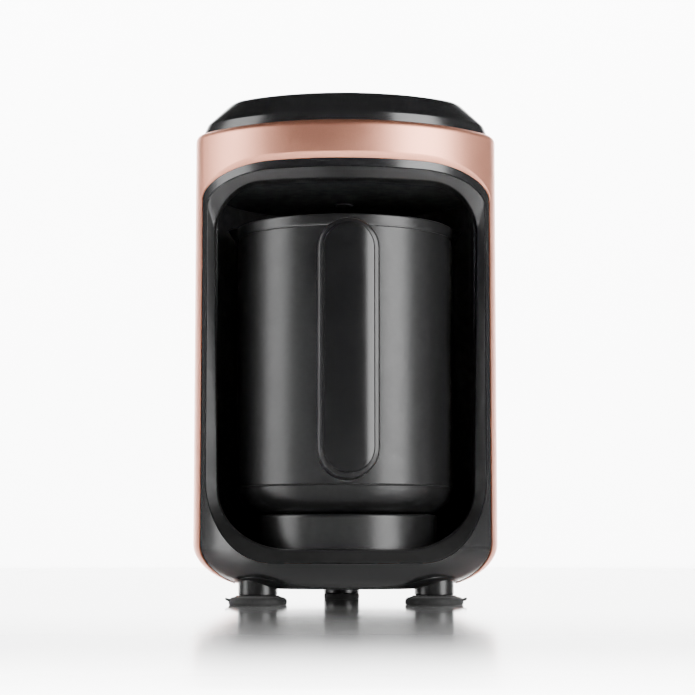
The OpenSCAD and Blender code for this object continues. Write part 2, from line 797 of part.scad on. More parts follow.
module control_panel() {
    color(satin_black) on_origin()
        difference() {
            translate([0, panel_y, 0]) {
                between_z(lid_inner_z - eps, lid_top_z) polygon(rounded_outline(
                    panel_l - 2 * insert_gap, panel_w - 2 * insert_gap, panel_w / 2 - insert_gap));
                between_z(flange_bottom_z, lid_inner_z) polygon(rounded_outline(
                    panel_l + 2 * panel_flange, panel_w + 2 * panel_flange, panel_w / 2 + panel_flange));
            }
            for (x = button_xs) {
                rod_z(x, panel_y, flange_bottom_z - 1, lid_top_z + 1, button_r + seam_gap);
                rod_z(x, panel_y + lens_forward, flange_bottom_z - 1, lid_top_z + 1, lens_r + insert_gap);
            }
        }
}

module status_lenses() {
    color(lens_grey) on_origin()
        for (x = button_xs) rod_z(x, panel_y + lens_forward, board_top_z + seam_gap, lid_top_z, lens_r);
}

module push_button(x) {
    color(satin_black) on_origin() {
        rod_z(x, panel_y, button_low_z, button_top_z, button_r);
        rod_z(x, panel_y, button_low_z, button_low_z + button_flange_t, button_flange_r);
        rod_z(x, panel_y, button_low_z - stem_l, button_low_z + eps, stem_rod_r);
    }
}
module button_left() { push_button(-button_pitch); }
module button_centre() { push_button(0); }
module button_right() { push_button(button_pitch); }

// Feet
cup_hollow = 2.2;
cup_lip = 1.2;
cup_seal_w = 2;
tab_w = 8;
tab_t = 1.4;
tab_round = 2;
module suction_foot(side) {
    color(rubber_black) on_origin() translate([side * foot_x, foot_y, 0]) {
        rotate_extrude() polygon([
            [0, cup_hollow], [cup_r / 2, cup_hollow * 3 / 4], [cup_r - cup_seal_w, 0], [cup_r, 0],
            [cup_r, cup_lip],
            [stem_r, cup_h], [plug_r - running_gap, cup_h], [plug_r - running_gap, cup_h + plug_h - 1],
            [0, cup_h + plug_h - 1]]);
        mirror([side < 0 ? 1 : 0, 0, 0]) between_z(cup_lip, cup_lip + tab_t) polygon(concat(
            [[stem_r, tab_w / 2], [stem_r, -tab_w / 2]],
            arc_points(tab_reach - tab_round, tab_round - tab_w / 2, tab_round, tab_round, -90, 0, n_corner),
            arc_points(tab_reach - tab_round, tab_w / 2 - tab_round, tab_round, tab_round, 0, 90, n_corner)));
    }
}
module suction_foot_left() { suction_foot(-1); }
module suction_foot_right() { suction_foot(1); }
module rear_foot_pad() {
    color(rubber_black) on_origin() {
        rod_z(0, rear_foot_y, 0, rear_pad_h, rear_foot_r);
        rod_z(0, rear_foot_y, rear_pad_h - eps, rear_pad_h + plug_h - 1, plug_r - running_gap);
    }
}

// Cable inlet
gland_inside = 11;
gland_l = gland_inside + gland_proud;
nut_t = 3.5;
nut_wall = 3;
module cable_gland() {
    color(rubber_black) on_origin()
        difference() {
            union() {
                rod_y(gland_x, gland_z, rear_y, gland_back_y, gland_collar_r);
                rod_y(gland_x, gland_z, gland_back_y - gland_l, gland_back_y - eps, gland_neck_r);
            }
            rod_y(gland_x, gland_z, gland_back_y - gland_l - 1, gland_back_y + 1, gland_bore_r);
        }
}
module gland_nut() {
    color(satin_black) on_origin()
        difference() {
            translate([gland_x, rear_y - sleeve_wall, gland_z]) rotate([90, 0, 0])
                cylinder(r = gland_neck_r + nut_wall, h = nut_t, $fn = 6);
            rod_y(gland_x, gland_z, rear_y - sleeve_wall - nut_t - 1, rear_y, gland_neck_r + running_gap);
        }
}

// Connector
module connector_block() {
    color(satin_black) on_origin()
        difference() {
            box_between(
                [-socket_half_w - block_margin, socket_back_y + seam_gap, socket_low_z - block_margin],
                [socket_half_w + block_margin, chassis_back_y, socket_low_z + socket_h + block_margin]);
            for (i = [-1:1]) pin_at(i, insert_gap / 2, 0, chassis_back_y + 1);
        }
}
module pin_at(i, grow, from_y, to_y) {
    box_between([i * pin_pitch - pin_t / 2 - grow, from_y, pin_z - pin_h / 2 - grow],
        [i * pin_pitch + pin_t / 2 + grow, to_y, pin_z + pin_h / 2 + grow]);
}
module connector_pins() {
    color(nickel) on_origin()
        for (i = [-1:1]) pin_at(i, 0, socket_back_y - pin_engage, chassis_back_y + pin_tail);
}

// Control electronics under the lid
module control_board() {
    color(board_green) on_origin()
        difference() {
            translate([0, panel_y, 0]) between_z(board_bottom_z, board_top_z)
                square([board_l, board_w], center = true);
            for (p = board_holes) rod_z(p[0], p[1], 0, lid_top_z, board_screw_r + running_gap);
        }
}
module tact_switches() {
    color(inner_black) on_origin()
        for (x = button_xs) {
            box_between([x - switch_w / 2, panel_y - switch_w / 2, board_top_z],
                [x + switch_w / 2, panel_y + switch_w / 2, board_top_z + switch_h - switch_plunger_h]);
            rod_z(x, panel_y, board_top_z + eps, board_top_z + switch_h, switch_plunger_r);
        }
}
buzzer_x = 30;
buzzer_r = 6;
buzzer_h = 5;
buzzer_hole_r = 1;
module buzzer() {
    color(inner_black) on_origin()
        difference() {
            rod_z(buzzer_x, panel_y, board_bottom_z - buzzer_h, board_bottom_z, buzzer_r);
            rod_z(buzzer_x, panel_y, 0, board_bottom_z - buzzer_h / 2, buzzer_hole_r);
        }
}
module board_screws() {
    color(steel) on_origin() {
        for (p = board_holes) {
            rod_z(p[0], p[1], board_bottom_z - board_head_h, board_bottom_z, board_head_r);
            rod_z(p[0], p[1], board_bottom_z - eps, lid_inner_z - board_hole_end - 1, board_screw_r);
        }
        for (p = power_holes) {
            rod_y(p[0], p[1], power_back_y, power_back_y + screw_head_h, screw_head_r);
            rod_y(p[0], p[1], chassis_back_y + 1, power_back_y + eps, screw_r);
        }
    }
}
module overflow_sensor() {
    color(inner_black) on_origin()
        box_between([-sensor_w / 2, sensor_y - sensor_d / 2, ceiling_top_z],
            [sensor_w / 2, sensor_y + sensor_d / 2, ceiling_top_z + sensor_h]);
}
module sensor_lens() {
    color(lens_grey) on_origin()
        rod_z(0, sensor_y, bay_ceiling_z - sensor_proud, ceiling_top_z, sensor_lens_r);
}

// Power electronics behind the bay
module power_board() {
    color(board_green) on_origin()
        difference() {
            box_between([-power_w / 2, power_y, power_z - power_h / 2],
                [power_w / 2, power_back_y, power_z + power_h / 2]);
            for (p = power_holes) rod_y(p[0], p[1], power_y - 1, power_back_y + 1, screw_hole_r);
        }
}
// Box on the power board: its middle in the face view, its width, depth and height
module on_board(at, size) {
    box_between([at[0] - size[0] / 2, power_back_y, power_z + at[1] - size[2] / 2],
        [at[0] + size[0] / 2, power_back_y + size[1], power_z + at[1] + size[2] / 2]);
}
transformer_at = [-19, 26];
transformer_w = 26;
transformer_back_gap = 8.9;
transformer_d = rear_y - sleeve_wall - transformer_back_gap - power_back_y;
transformer_h = 28;
flange_t = 6;
winding_in = 3;
module transformer() {
    color(copper) on_origin() {
        for (side = [-1, 1])
            on_board(transformer_at + [0, side * (transformer_h - flange_t) / 2],
                [transformer_w, transformer_d, flange_t]);
        on_board(transformer_at, [transformer_w - 2 * winding_in, transformer_d - winding_in,
            transformer_h - 2 * flange_t + 2 * eps]);
    }
}
relay_at = [18, 24];
relay_size = [20, 16, 16];
module relay() {
    color(relay_blue) on_origin() on_board(relay_at, relay_size);
}
sink_at = [-21, -19];
sink_w = 22;
sink_d = 20;
sink_h = 30;
fin_count = 5;
fin_t = 2;
module heat_sink() {
    color(steel) on_origin() {
        on_board(sink_at - [(sink_w - fin_t) / 2, 0], [fin_t, sink_d, sink_h]);
        for (i = [0:fin_count - 1])
            on_board(sink_at + [fin_t / 2 - eps, (i / (fin_count - 1) - 0.5) * (sink_h - fin_t)],
                [sink_w - fin_t, sink_d, fin_t]);
    }
}
capacitor_at = [14, -6];
capacitor_r = 6.5;
capacitor_l = 20;
module capacitor() {
    color(inner_black) on_origin()
        rod_y(capacitor_at[0], power_z + capacitor_at[1], power_back_y, power_back_y + capacitor_l,
            capacitor_r);
}
fuse_at = [16, -26];
fuse_r = 2.6;
fuse_l = 20;
clip_w = 6;
clip_h = 6.4;
clip_d = 3.2;
module fuse() {
    color(nickel) on_origin() {
        rod_x(power_back_y + clip_d, power_z + fuse_at[1], fuse_at[0] - fuse_l / 2,
            fuse_at[0] + fuse_l / 2, fuse_r);
        for (side = [-1, 1]) on_board(fuse_at + [side * fuse_l * 0.4, 0], [clip_w, clip_d, clip_h]);
    }
}
terminal_x = 16;
terminal_w = 28;
terminal_h = 10;
terminal_d = 10;
terminal_low_z = power_z - power_h / 2 + 2;
module terminal_block() {
    color(terminal_green) on_origin()
        on_board([terminal_x, terminal_low_z + terminal_h / 2 - power_z],
            [terminal_w, terminal_d, terminal_h]);
}

// Stirring drive under the dock
plate_t = 2;
rotor_gap = 0.5;
rotor_t = 4;
rotor_top_z = dock_top_z - dock_plate - rotor_gap;
magnet_edge = 4;
magnet_at = rotor_r - magnet_r - magnet_edge;
magnet_h = 3.4;
magnet_cover = 0.1;
hub_r = 5;
shaft_r = 1.5;
shaft_fit = 0.01;
shaft_seat = 4;
shaft_low_z = motor_top_z - shaft_seat;
shaft_high_z = rotor_top_z - 1;
motor_screw_at = 10;
motor_screw_l = 4;
plate_screw_top_z = motor_top_z + plate_t;
plate_rim = 4;
plate_head_r = 2.6;
plate_head_h = 1.8;
motor_tag_w = 8;
motor_tag_t = 3;
motor_tag_h = 6;
motor_tag_z = motor_top_z - motor_h / 2 - motor_tag_h / 2;
module motor_screw_holes(from, to) {
    for (side = [-1, 1]) rod_z(side * motor_screw_at, 0, from, to, screw_hole_r);
}
module stir_motor() {
    color(steel) on_pot_axis()
        difference() {
            union() {
                rod_z(0, 0, motor_top_z - motor_h, motor_top_z, motor_r);
                box_between([-motor_tag_w / 2, motor_r / 2, motor_tag_z - motor_tag_h / 2],
                    [motor_tag_w / 2, motor_r + motor_tag_t, motor_tag_z + motor_tag_h / 2]);
            }
            rod_z(0, 0, shaft_low_z, motor_top_z + 1, shaft_r + running_gap);
            motor_screw_holes(motor_top_z - motor_screw_l, motor_top_z + 1);
        }
}
module motor_plate() {
    color(satin_black) on_pot_axis()
        difference() {
            rod_z(0, 0, motor_top_z, plate_screw_top_z, plate_post_at + plate_rim);
            rod_z(0, 0, motor_top_z - 1, plate_screw_top_z + 1, hub_r + 1);
            motor_screw_holes(motor_top_z - 1, plate_screw_top_z + 1);
            plate_posts(motor_top_z - 1, plate_screw_top_z + 1, screw_hole_r);
        }
}
module motor_screws() {
    color(steel) on_pot_axis() {
        plate_posts(bay_floor_z, plate_screw_top_z + eps, screw_r);
        plate_posts(plate_screw_top_z, plate_screw_top_z + plate_head_h, plate_head_r);
        for (side = [-1, 1]) {
            rod_z(side * motor_screw_at, 0, motor_top_z - motor_screw_l, plate_screw_top_z + eps, screw_r);
            rod_z(side * motor_screw_at, 0, plate_screw_top_z, plate_screw_top_z + plate_head_h,
                plate_head_r);
        }
    }
}
module cover_screws() {
    color(steel) on_origin()
        for (side = [-1, 1], y = cover_screw_ys) {
            rod_z(side * cover_screw_x, y, cover_head_z, cover_head_z + screw_head_h, screw_head_r);
            rod_z(side * cover_screw_x, y, cover_head_z + screw_head_h - eps, floor_bottom_z, screw_r);
        }
}
module magnet_pockets(from, to, r) {
    for (side = [-1, 1]) rod_z(side * magnet_at, 0, from, to, r);
}
module drive_rotor() {
    color(satin_black) on_pot_axis()
        difference() {
            union() {
                rod_z(0, 0, rotor_top_z - rotor_t, rotor_top_z, rotor_r);
                rod_z(0, 0, plate_screw_top_z + rotor_gap, rotor_top_z - rotor_t + eps, hub_r);
            }
            rod_z(0, 0, 0, shaft_high_z, shaft_r + shaft_fit);
            magnet_pockets(rotor_top_z - magnet_h - magnet_cover, rotor_top_z + 1, magnet_r + shaft_fit);
        }
}
module drive_magnets() {
    color(steel) on_pot_axis()
        magnet_pockets(rotor_top_z - magnet_h - magnet_cover, rotor_top_z - magnet_cover, magnet_r);
}
module motor_shaft() {
    color(steel) on_pot_axis() rod_z(0, 0, shaft_low_z, shaft_high_z, shaft_r);
}

// Internal leads: a round tube along a smooth curve through hand-placed points
function knot(points, i) = points[min(max(i, 0), len(points) - 1)];
function on_curve(points, i, t) =
    let (a = knot(points, i - 1), b = knot(points, i), c = knot(points, i + 1), d = knot(points, i + 2))
    0.5 * (2 * b + (c - a) * t + (2 * a - 5 * b + 4 * c - d) * t * t + (3 * b - a - 3 * c + d) * t * t * t);
function smooth_route(points, steps) =
    concat([for (i = [0:len(points) - 2], s = [0:steps - 1]) on_curve(points, i, s / steps)],
        [points[len(points) - 1]]);
function unit(v) = v / norm(v);
tube_sides = 8;
tube_steps = 4;
module tube(points, r) {
    route = smooth_route(points, tube_steps);
    last = len(route) - 1;
    rings = [for (i = [0:last])
        let (
            along = unit(i == 0 ? points[1] - points[0]
                : i == last ? points[len(points) - 1] - points[len(points) - 2]
                : route[i + 1] - route[i - 1]),
            u = unit(cross(along, [1, 0, 0])),
            v = cross(along, u)
        )
        [for (k = [0:tube_sides - 1])
            route[i] + r * (cos(360 * k / tube_sides) * u + sin(360 * k / tube_sides) * v)]];
    loft(rings);
}
gland_end_y = gland_back_y - gland_l;
mains_route = [
    [gland_x, gland_end_y, gland_z], [gland_x, gland_end_y - 5, gland_z],
    [gland_x - 4, gland_end_y - 15, gland_z + 6], [24, power_back_y + 5, terminal_low_z - 13],
    [24, power_back_y + 5, terminal_low_z - 5], [24, power_back_y + 5, terminal_low_z]];
motor_route = [
    [motor_lead_x, power_back_y + 5, terminal_low_z], [motor_lead_x, power_back_y + 5, terminal_low_z - 7],
    [motor_lead_x, lead_hole_y, bay_floor_z + 12.5], [motor_lead_x, lead_hole_y - 2, bay_floor_z - 3.5],
    [8, lead_hole_y - 14, motor_tag_z], [4, lead_hole_y - 48, motor_tag_z],
    [0, pot_y + motor_r + 8, motor_tag_z], [0, pot_y + motor_r + motor_tag_t, motor_tag_z]];
control_route = [
    [control_lead_x, power_y + board_t / 2, power_z + power_h / 2],
    [control_lead_x, power_y + board_t / 2, power_z + power_h / 2 + 7],
    [control_lead_x, lead_hole_y, bay_ceiling_z + 2],
    [control_lead_x, lead_hole_y - 8, bay_ceiling_z + 14], [-22, panel_y + 62, bay_ceiling_z + 20],
    [-28, panel_y + 32, bay_ceiling_z + 22], [-32, panel_y + 16, board_bottom_z - 6],
    [-32, panel_y + 16, board_bottom_z]];
mains_lead_r = 2.8;
motor_lead_r = 1.5;
control_lead_r = 1.8;
module mains_lead() {
    color(satin_black) on_origin() tube(mains_route, mains_lead_r);
}
module motor_lead() {
    color(lead_red) on_origin() tube(motor_route, motor_lead_r);
}
module control_lead() {
    color(lead_grey) on_origin() tube(control_route, control_lead_r);
}

// Pot
pot_low_z = dock_top_z;
socket_face_y = pot_r + socket_reach;
seam_low_z = pot_seam_z - seam_gap / 2;
seam_high_z = pot_seam_z + seam_gap / 2;
rim_low_z = pot_top_z - rim_h;
vessel_r = pot_r - pot_wall - seam_gap;
vessel_inner_r = vessel_r - vessel_wall;
vessel_floor_z = pot_low_z + vessel_lift;
vessel_low_z = vessel_floor_z - vessel_wall;
vessel_corner_r = 12;
handle_hole_zs = [handle_bottom_z + arm_h / 2, handle_top_z - arm_h / 2];
module cup_section(r, corner, low, high) {
    polygon(concat([[0, high], [0, low]],
        arc_points(r - corner, low + corner, corner, corner, -90, 0, n_bowl), [[r, high]]));
}
module cup(r, corner, low, high, wall) {
    rotate_extrude() difference() {
        cup_section(r, corner, low, high);
        cup_section(r - wall, corner - wall, low + wall, high + 1);
    }
}
module pot_shell() {
    color(satin_black) on_pot_axis()
        difference() {
            rod_z(0, 0, seam_high_z, rim_low_z, pot_r);
            rod_z(0, 0, 0, pot_top_z, pot_r - pot_wall);
            for (z = handle_hole_zs) rod_y(0, z, -pot_r - 1, -pot_r / 2, screw_hole_r);
        }
}
module pot_base() {
    color(satin_black) on_pot_axis()
        difference() {
            intersection() {
                cup(pot_r, pot_corner_r, pot_low_z, pot_top_z, pot_wall);
                rod_z(0, 0, 0, seam_low_z, reach);
            }
            box_between(
                [-socket_half_w - insert_gap, socket_face_y - socket_depth, socket_low_z - insert_gap],
                [socket_half_w + insert_gap, socket_face_y, socket_low_z + socket_h + insert_gap]);
        }
}
gasket_in = 0.6;
module base_gasket() {
    color(rubber_black) on_pot_axis()
        difference() {
            rod_z(0, 0, seam_low_z, seam_high_z, pot_r - gasket_in);
            rod_z(0, 0, 0, pot_top_z, pot_r - pot_wall);
        }
}
module pot_vessel() {
    color(steel) on_pot_axis() cup(vessel_r, vessel_corner_r, vessel_low_z, rim_low_z, vessel_wall);
}

// Rim ring with a pouring lip at each side
rim_proud = 0.6;
spout_half_w = 11;
spout_tip_w = 3;
spout_root = 8;
spout_wall = 1.6;
function spout_ring(side_w, tip_x, tip_w, z) =
    [[pot_r - spout_root, -side_w, z], [tip_x, -tip_w, z],
        [tip_x, tip_w, z], [pot_r - spout_root, side_w, z]];
module spout_form(shrink, top) {
    loft([
        spout_ring(spout_half_w / 2 - shrink, pot_r + rim_proud - shrink, (spout_tip_w - shrink) / 2,
            pot_top_z - spout_h + 2 * shrink),
        spout_ring(spout_half_w - shrink, pot_r + spout_reach - shrink, spout_tip_w - shrink / 2, top)]);
}
module pot_rim() {
    color(satin_black) on_pot_axis()
        difference() {
            union() {
                rod_z(0, 0, rim_low_z, pot_top_z, pot_r + rim_proud);
                for (side = [0, 1]) mirror([side, 0, 0]) spout_form(0, pot_top_z);
            }
            rod_z(0, 0, 0, pot_top_z + 1, vessel_inner_r);
            rod_z(0, 0, 0, rim_low_z, pot_r + insert_gap);
            for (side = [0, 1]) mirror([side, 0, 0]) spout_form(spout_wall, pot_top_z + 0.5);
        }
}
heater_in = 14.7;
heater_r = vessel_r - heater_in;
heater_w = 14;
heater_h = 5;
thermostat_in = 12;
thermostat_x = heater_r - heater_w - thermostat_in;
thermostat_y = 8;
thermostat_r = 6;
thermostat_h = 4.5;
module heater_ring() {
    color(copper) on_pot_axis()
        difference() {
            rod_z(0, 0, vessel_low_z - heater_h, vessel_low_z, heater_r);
            rod_z(0, 0, 0, pot_top_z, heater_r - heater_w);
        }
}
module thermostat() {
    color(steel) on_pot_axis()
        rod_z(thermostat_x, thermostat_y, vessel_low_z - thermostat_h, vessel_low_z, thermostat_r);
}
module pot_socket() {
    color(inner_black) on_pot_axis()
        difference() {
            box_between([-socket_half_w, socket_face_y - socket_depth, socket_low_z],
                [socket_half_w, socket_face_y, socket_low_z + socket_h]);
            for (i = [-1:1]) pin_at(i, seam_gap, socket_face_y - pin_engage - 1, socket_face_y + 1);
        }
}

// Handle: a D-shaped frame with a cover let into its face
handle_mid_z = (handle_bottom_z + handle_top_z) / 2;
handle_h = handle_top_z - handle_bottom_z;
face_y_local = -pot_r - handle_reach;
frame_face_y = face_y_local + cover_proud;
grip_back_y = face_y_local + grip_t;
arm_root_y = -pot_r + 4;
frame_round = 6;
gap_round = 5;
cover_sunk = 2.5;
cover_round = 5;
head_seat_y = frame_face_y + cover_sunk + screw_head_h;
function d_outline(face, back, low, high, r) =
    concat([[back, low], [back, high]], arc_points(face + r, high - r, r, r, 90, 180, n_corner),
        arc_points(face + r, low + r, r, r, 180, 270, n_corner));
function gap_outline() =
    concat(
        [[0, handle_bottom_z + arm_h], [0, handle_top_z - arm_h]],
        arc_points(grip_back_y + gap_round, handle_top_z - arm_h - gap_round,
            gap_round, gap_round, 90, 180, n_corner),
        arc_points(grip_back_y + gap_round, handle_bottom_z + arm_h + gap_round,
            gap_round, gap_round, 180, 270, n_corner));
module handle_stadium(grow, from_y, to_y) {
    translate([0, 0, handle_mid_z]) along_y(from_y, to_y)
        polygon(rounded_outline(handle_w + 2 * grow, handle_h + 2 * grow, handle_w / 2 + grow));
}
module handle_frame() {
    color(satin_black) on_pot_axis()
        difference() {
            intersection() {
                along_x(-handle_w, handle_w)
                    polygon(d_outline(frame_face_y, arm_root_y, handle_bottom_z, handle_top_z, frame_round));
                handle_stadium(0, face_y_local - 1, 0);
            }
            along_x(-handle_w, handle_w) polygon(gap_outline());
            handle_stadium(insert_gap - cover_margin, face_y_local - 1, frame_face_y + cover_sunk);
            rod_z(0, 0, 0, pot_top_z, pot_r + insert_gap);
            for (z = handle_hole_zs) {
                rod_y(0, z, face_y_local, 0, screw_hole_r);
                rod_y(0, z, face_y_local, head_seat_y, screw_head_r + insert_gap);
            }
        }
}
module handle_cover() {
    color(gloss_black) on_pot_axis()
        intersection() {
            along_x(-handle_w, handle_w)
                polygon(d_outline(face_y_local, frame_face_y + cover_sunk, handle_bottom_z + cover_margin,
                    handle_top_z - cover_margin, cover_round));
            handle_stadium(-cover_margin, face_y_local - 1, 0);
        }
}
module handle_screws() {
    color(steel) on_pot_axis()
        for (z = handle_hole_zs) {
            rod_y(0, z, head_seat_y - screw_head_h + insert_gap, head_seat_y, screw_head_r);
            rod_y(0, z, head_seat_y - eps, pot_wall / 2 - pot_r, screw_r);
        }
}

// Whisk that the drive's magnets turn through the pot's floor
whisk_gap = 0.6;
whisk_plate_r = 18;
whisk_plate_t = 3;
whisk_low_z = vessel_floor_z + whisk_gap;
hub_h = 10;
hub_top_z = whisk_low_z + hub_h;
ring_z = whisk_low_z + hub_h - whisk_coil_r;
spoke_r = 1.2;
whisk_magnet_h = 2.5;
pocket_top_z = whisk_low_z + magnet_cover + whisk_magnet_h;
module whisk_pivot() {
    color(steel) on_pot_axis() rod_z(0, 0, vessel_floor_z, hub_top_z + 1, pivot_r);
}
module whisk_hub() {
    color(steel) on_pot_axis() {
        difference() {
            union() {
                rod_z(0, 0, whisk_low_z, whisk_low_z + whisk_plate_t, whisk_plate_r);
                rod_z(0, 0, whisk_low_z, hub_top_z, whisk_hub_r);
                rod_x(0, ring_z, -whisk_ring_r, whisk_ring_r, spoke_r);
            }
            rod_z(0, 0, 0, hub_top_z + 1, pivot_r + running_gap);
            magnet_pockets(0, pocket_top_z, magnet_r + shaft_fit);
        }
        translate([0, 0, ring_z]) rotate_extrude() translate([whisk_ring_r, 0]) circle(r = whisk_coil_r);
    }
}
module whisk_magnets() {
    color(steel) on_pot_axis() magnet_pockets(whisk_low_z + magnet_cover, pocket_top_z, magnet_r);
}

outer_sleeve();
front_frame();
opening_surround();
bay_liner();
bay_floor();
bay_ceiling();
rear_chassis();
dock();
bottom_cover();
lid();
control_panel();
status_lenses();
suction_foot_left();
suction_foot_right();
rear_foot_pad();
cable_gland();
gland_nut();
connector_block();
connector_pins();
control_board();
tact_switches();
buzzer();
board_screws();
overflow_sensor();
sensor_lens();
power_board();
transformer();
relay();
heat_sink();
capacitor();
fuse();
terminal_block();
stir_motor();
motor_plate();
motor_screws();
cover_screws();
control_lead();
motor_lead();
mains_lead();
drive_rotor();
drive_magnets();
motor_shaft();
pot_shell();
pot_vessel();
pot_rim();
pot_base();
base_gasket();
heater_ring();
thermostat();
pot_socket();
handle_frame();
handle_cover();
handle_screws();
whisk_pivot();
whisk_hub();
whisk_magnets();
button_left();
button_centre();
button_right();
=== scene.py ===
"""Electric Turkish coffee maker: the looks of the machine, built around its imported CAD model.

Lengths are in millimetres until a mesh is made, and heights stand above the table. The body's
outlines, and depths worked out from FRONT_Y and REAR_Y, are measured from the middle of the body,
and BODY_Y moves them into the frame.
"""

import json
import math

import bmesh
import bpy
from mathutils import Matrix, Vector


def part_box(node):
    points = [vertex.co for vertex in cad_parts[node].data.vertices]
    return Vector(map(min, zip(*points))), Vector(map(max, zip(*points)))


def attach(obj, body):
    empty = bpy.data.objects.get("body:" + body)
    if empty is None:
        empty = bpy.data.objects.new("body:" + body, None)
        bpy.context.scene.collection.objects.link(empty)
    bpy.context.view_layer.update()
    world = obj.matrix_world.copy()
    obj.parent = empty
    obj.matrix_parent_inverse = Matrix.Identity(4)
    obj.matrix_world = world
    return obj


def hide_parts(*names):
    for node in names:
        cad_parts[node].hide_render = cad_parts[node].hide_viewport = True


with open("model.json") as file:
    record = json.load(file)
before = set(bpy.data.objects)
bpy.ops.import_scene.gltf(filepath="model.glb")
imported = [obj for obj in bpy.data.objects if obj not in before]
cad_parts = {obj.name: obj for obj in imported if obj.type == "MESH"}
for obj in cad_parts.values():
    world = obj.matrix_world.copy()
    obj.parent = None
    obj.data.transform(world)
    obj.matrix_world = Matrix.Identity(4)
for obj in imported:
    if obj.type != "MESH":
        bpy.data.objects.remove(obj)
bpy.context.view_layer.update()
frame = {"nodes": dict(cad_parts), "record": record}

MM = 0.001


def box_mm(node):
    low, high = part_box(node)
    return low / MM, high / MM


# Sizes read from the frame
sleeve_low, sleeve_high = box_mm("outer_sleeve")
shell_low, shell_high = box_mm("pot_shell")
base_low, base_high = box_mm("pot_base")
rim_low, rim_high = box_mm("pot_rim")
dock_low, dock_high = box_mm("dock")
liner_low, liner_high = box_mm("bay_liner")
HALF_W = sleeve_high.x
BODY_Y = (sleeve_low.y + sleeve_high.y) / 2
FRONT_Y = sleeve_low.y - BODY_Y
REAR_Y = sleeve_high.y - BODY_Y
SLEEVE_TOP = sleeve_high.z
LID_TOP = box_mm("lid")[1].z
POT_Y = (shell_low.y + shell_high.y) / 2
POT_R = shell_high.x

# Body; a bowl's pair says how far it runs in and how high it rises
UNDERSIDE = 7.2
FRONT_CURVE_R = 95.0
FRONT_CORNER_R = 20.0
REAR_CORNER_R = 30.0
SLEEVE_WALL = 2.2
BOWL_SIDE = (43.0, 23.6)
BOWL_FRONT = (26.0, 22.8)
BOWL_REAR = (30.0, 26.8)
BOWL_CORNER_GROWTH = 8.0
REAR_TIGHTER = 10.0
REAR_TIGHTENS_OVER = 4.0
SHOULDER = 3.7
SEAT_LEDGE = 1.7
CURVE_CY = FRONT_Y + FRONT_CURVE_R
SEAM = 0.3

# Depths in the frame: ahead of the body, and from inside its rear wall to behind it
AHEAD = sleeve_low.y - 20
REAR_HOLE = (sleeve_high.y - 5, sleeve_high.y + 1)

# Openings in the front; the pairs of their low and high corners are a width and a height
CUT_HALF_W = HALF_W - 4.0
CUT_TOP = SLEEVE_TOP - 19.8
CUT_BOTTOM = UNDERSIDE - 1.0
CUT_LOW = (41.0, 24.6)
CUT_HIGH = (36.0, 15.0)
LIP_TOP = 3.7
LIP_SIDE = 0.7
LIP_DEPTH = 1.3
LIP_BEND = 1.4
FRAME_INSET = 0.6
FRAME_WALL = 2.4
RIM_SIDE = 2.5
RIM_TOP = 4.2
WINDOW_HALF_W = CUT_HALF_W - RIM_SIDE
WINDOW_TOP = CUT_TOP - RIM_TOP
WINDOW_BOTTOM = 21.0
WINDOW_LOW = (33.0, 43.0)
WINDOW_HIGH = (33.5, 14.0)
MOUTH_TOP_HALF_W = 67.0
MOUTH_LOW_HALF_W = 64.5
MOUTH_BOTTOM = 28.0
MOUTH_TOP = 211.5
MOUTH_LOW = (36.0, 30.0)
MOUTH_HIGH = (23.0, 23.0)
SURROUND_DEPTH = 16.0
SURROUND_WALL = 2.4
SURROUND_LAND = 3.5
SURROUND_SUNK = 0.5
SURROUND_LEVEL_Z = 36.0

# Shares of the way inwards and of the depth at which the surround's chamfer ends
SURROUND_CHAMFER = (0.93, 0.38)

# Base plate and feet
BASE_HALF_W = HALF_W - 21.5
BASE_FRONT = FRONT_Y + 19.0
BASE_REAR = REAR_Y - 16.0
BASE_CORNER_R = 20.0
BASE_ZONE_TOP = 18.0
BASE_WALL = 2.2
BASE_LOFT_TOP = UNDERSIDE + BOWL_SIDE[1] + 9

# Steps of the outlines
FRONT_STEPS = 26
CORNER_STEPS = 12
ROUND_STEPS = 24
BOWL_STEPS = 26
EDGE_STEPS = 8
WALL_STEPS = 6
LIP_STEPS = 5
SHOULDER_STEPS = 7
LATHE_STEPS = 144

# Distances in which points count as one, when a mesh is made and after a cut
WELD = 0.0001
MERGE = 0.02


# ---- outlines


def arc_points(cx, cy, rx, ry, start, end, steps):
    turns = [math.radians(start + (end - start) * i / steps) for i in range(steps + 1)]
    return [(cx + rx * math.cos(a), cy + ry * math.sin(a)) for a in turns]


def full_turn(steps):
    return [2 * math.pi * i / steps for i in range(steps)]


def circle(cx, cy, r, steps):
    return arc_points(cx, cy, r, r, 0, 360, steps)[:-1]


def mirrored(half):
    return [(-x, y) for x, y in reversed(half)]


def curve_of(side_in, front_in, corner_r):
    """Radius of the front curve at this inset, and the middle of its corner."""
    curve_r = FRONT_CURVE_R - front_in
    cx = HALF_W - side_in - corner_r
    cy = CURVE_CY - math.sqrt((curve_r - corner_r) ** 2 - cx**2)
    return curve_r, cx, cy


def plan_outline(side_in, front_in, rear_in, corner_r, back_r):
    """Outline of the body in plan, from the front's middle round to it again."""
    curve_r, cx, cy = curve_of(side_in, front_in, corner_r)
    meet = math.degrees(math.atan2(cy - CURVE_CY, cx))
    half = arc_points(0, CURVE_CY, curve_r, curve_r, -90, meet, FRONT_STEPS)
    half += arc_points(cx, cy, corner_r, corner_r, meet, 0, CORNER_STEPS)[1:]
    back_x, back_y = HALF_W - side_in - back_r, REAR_Y - rear_in - back_r
    half += arc_points(back_x, back_y, back_r, back_r, 0, 90, CORNER_STEPS)
    return half + mirrored(half)[:-1]


def plan_inset(inset):
    return plan_outline(inset, inset, inset, FRONT_CORNER_R - inset, REAR_CORNER_R - inset)


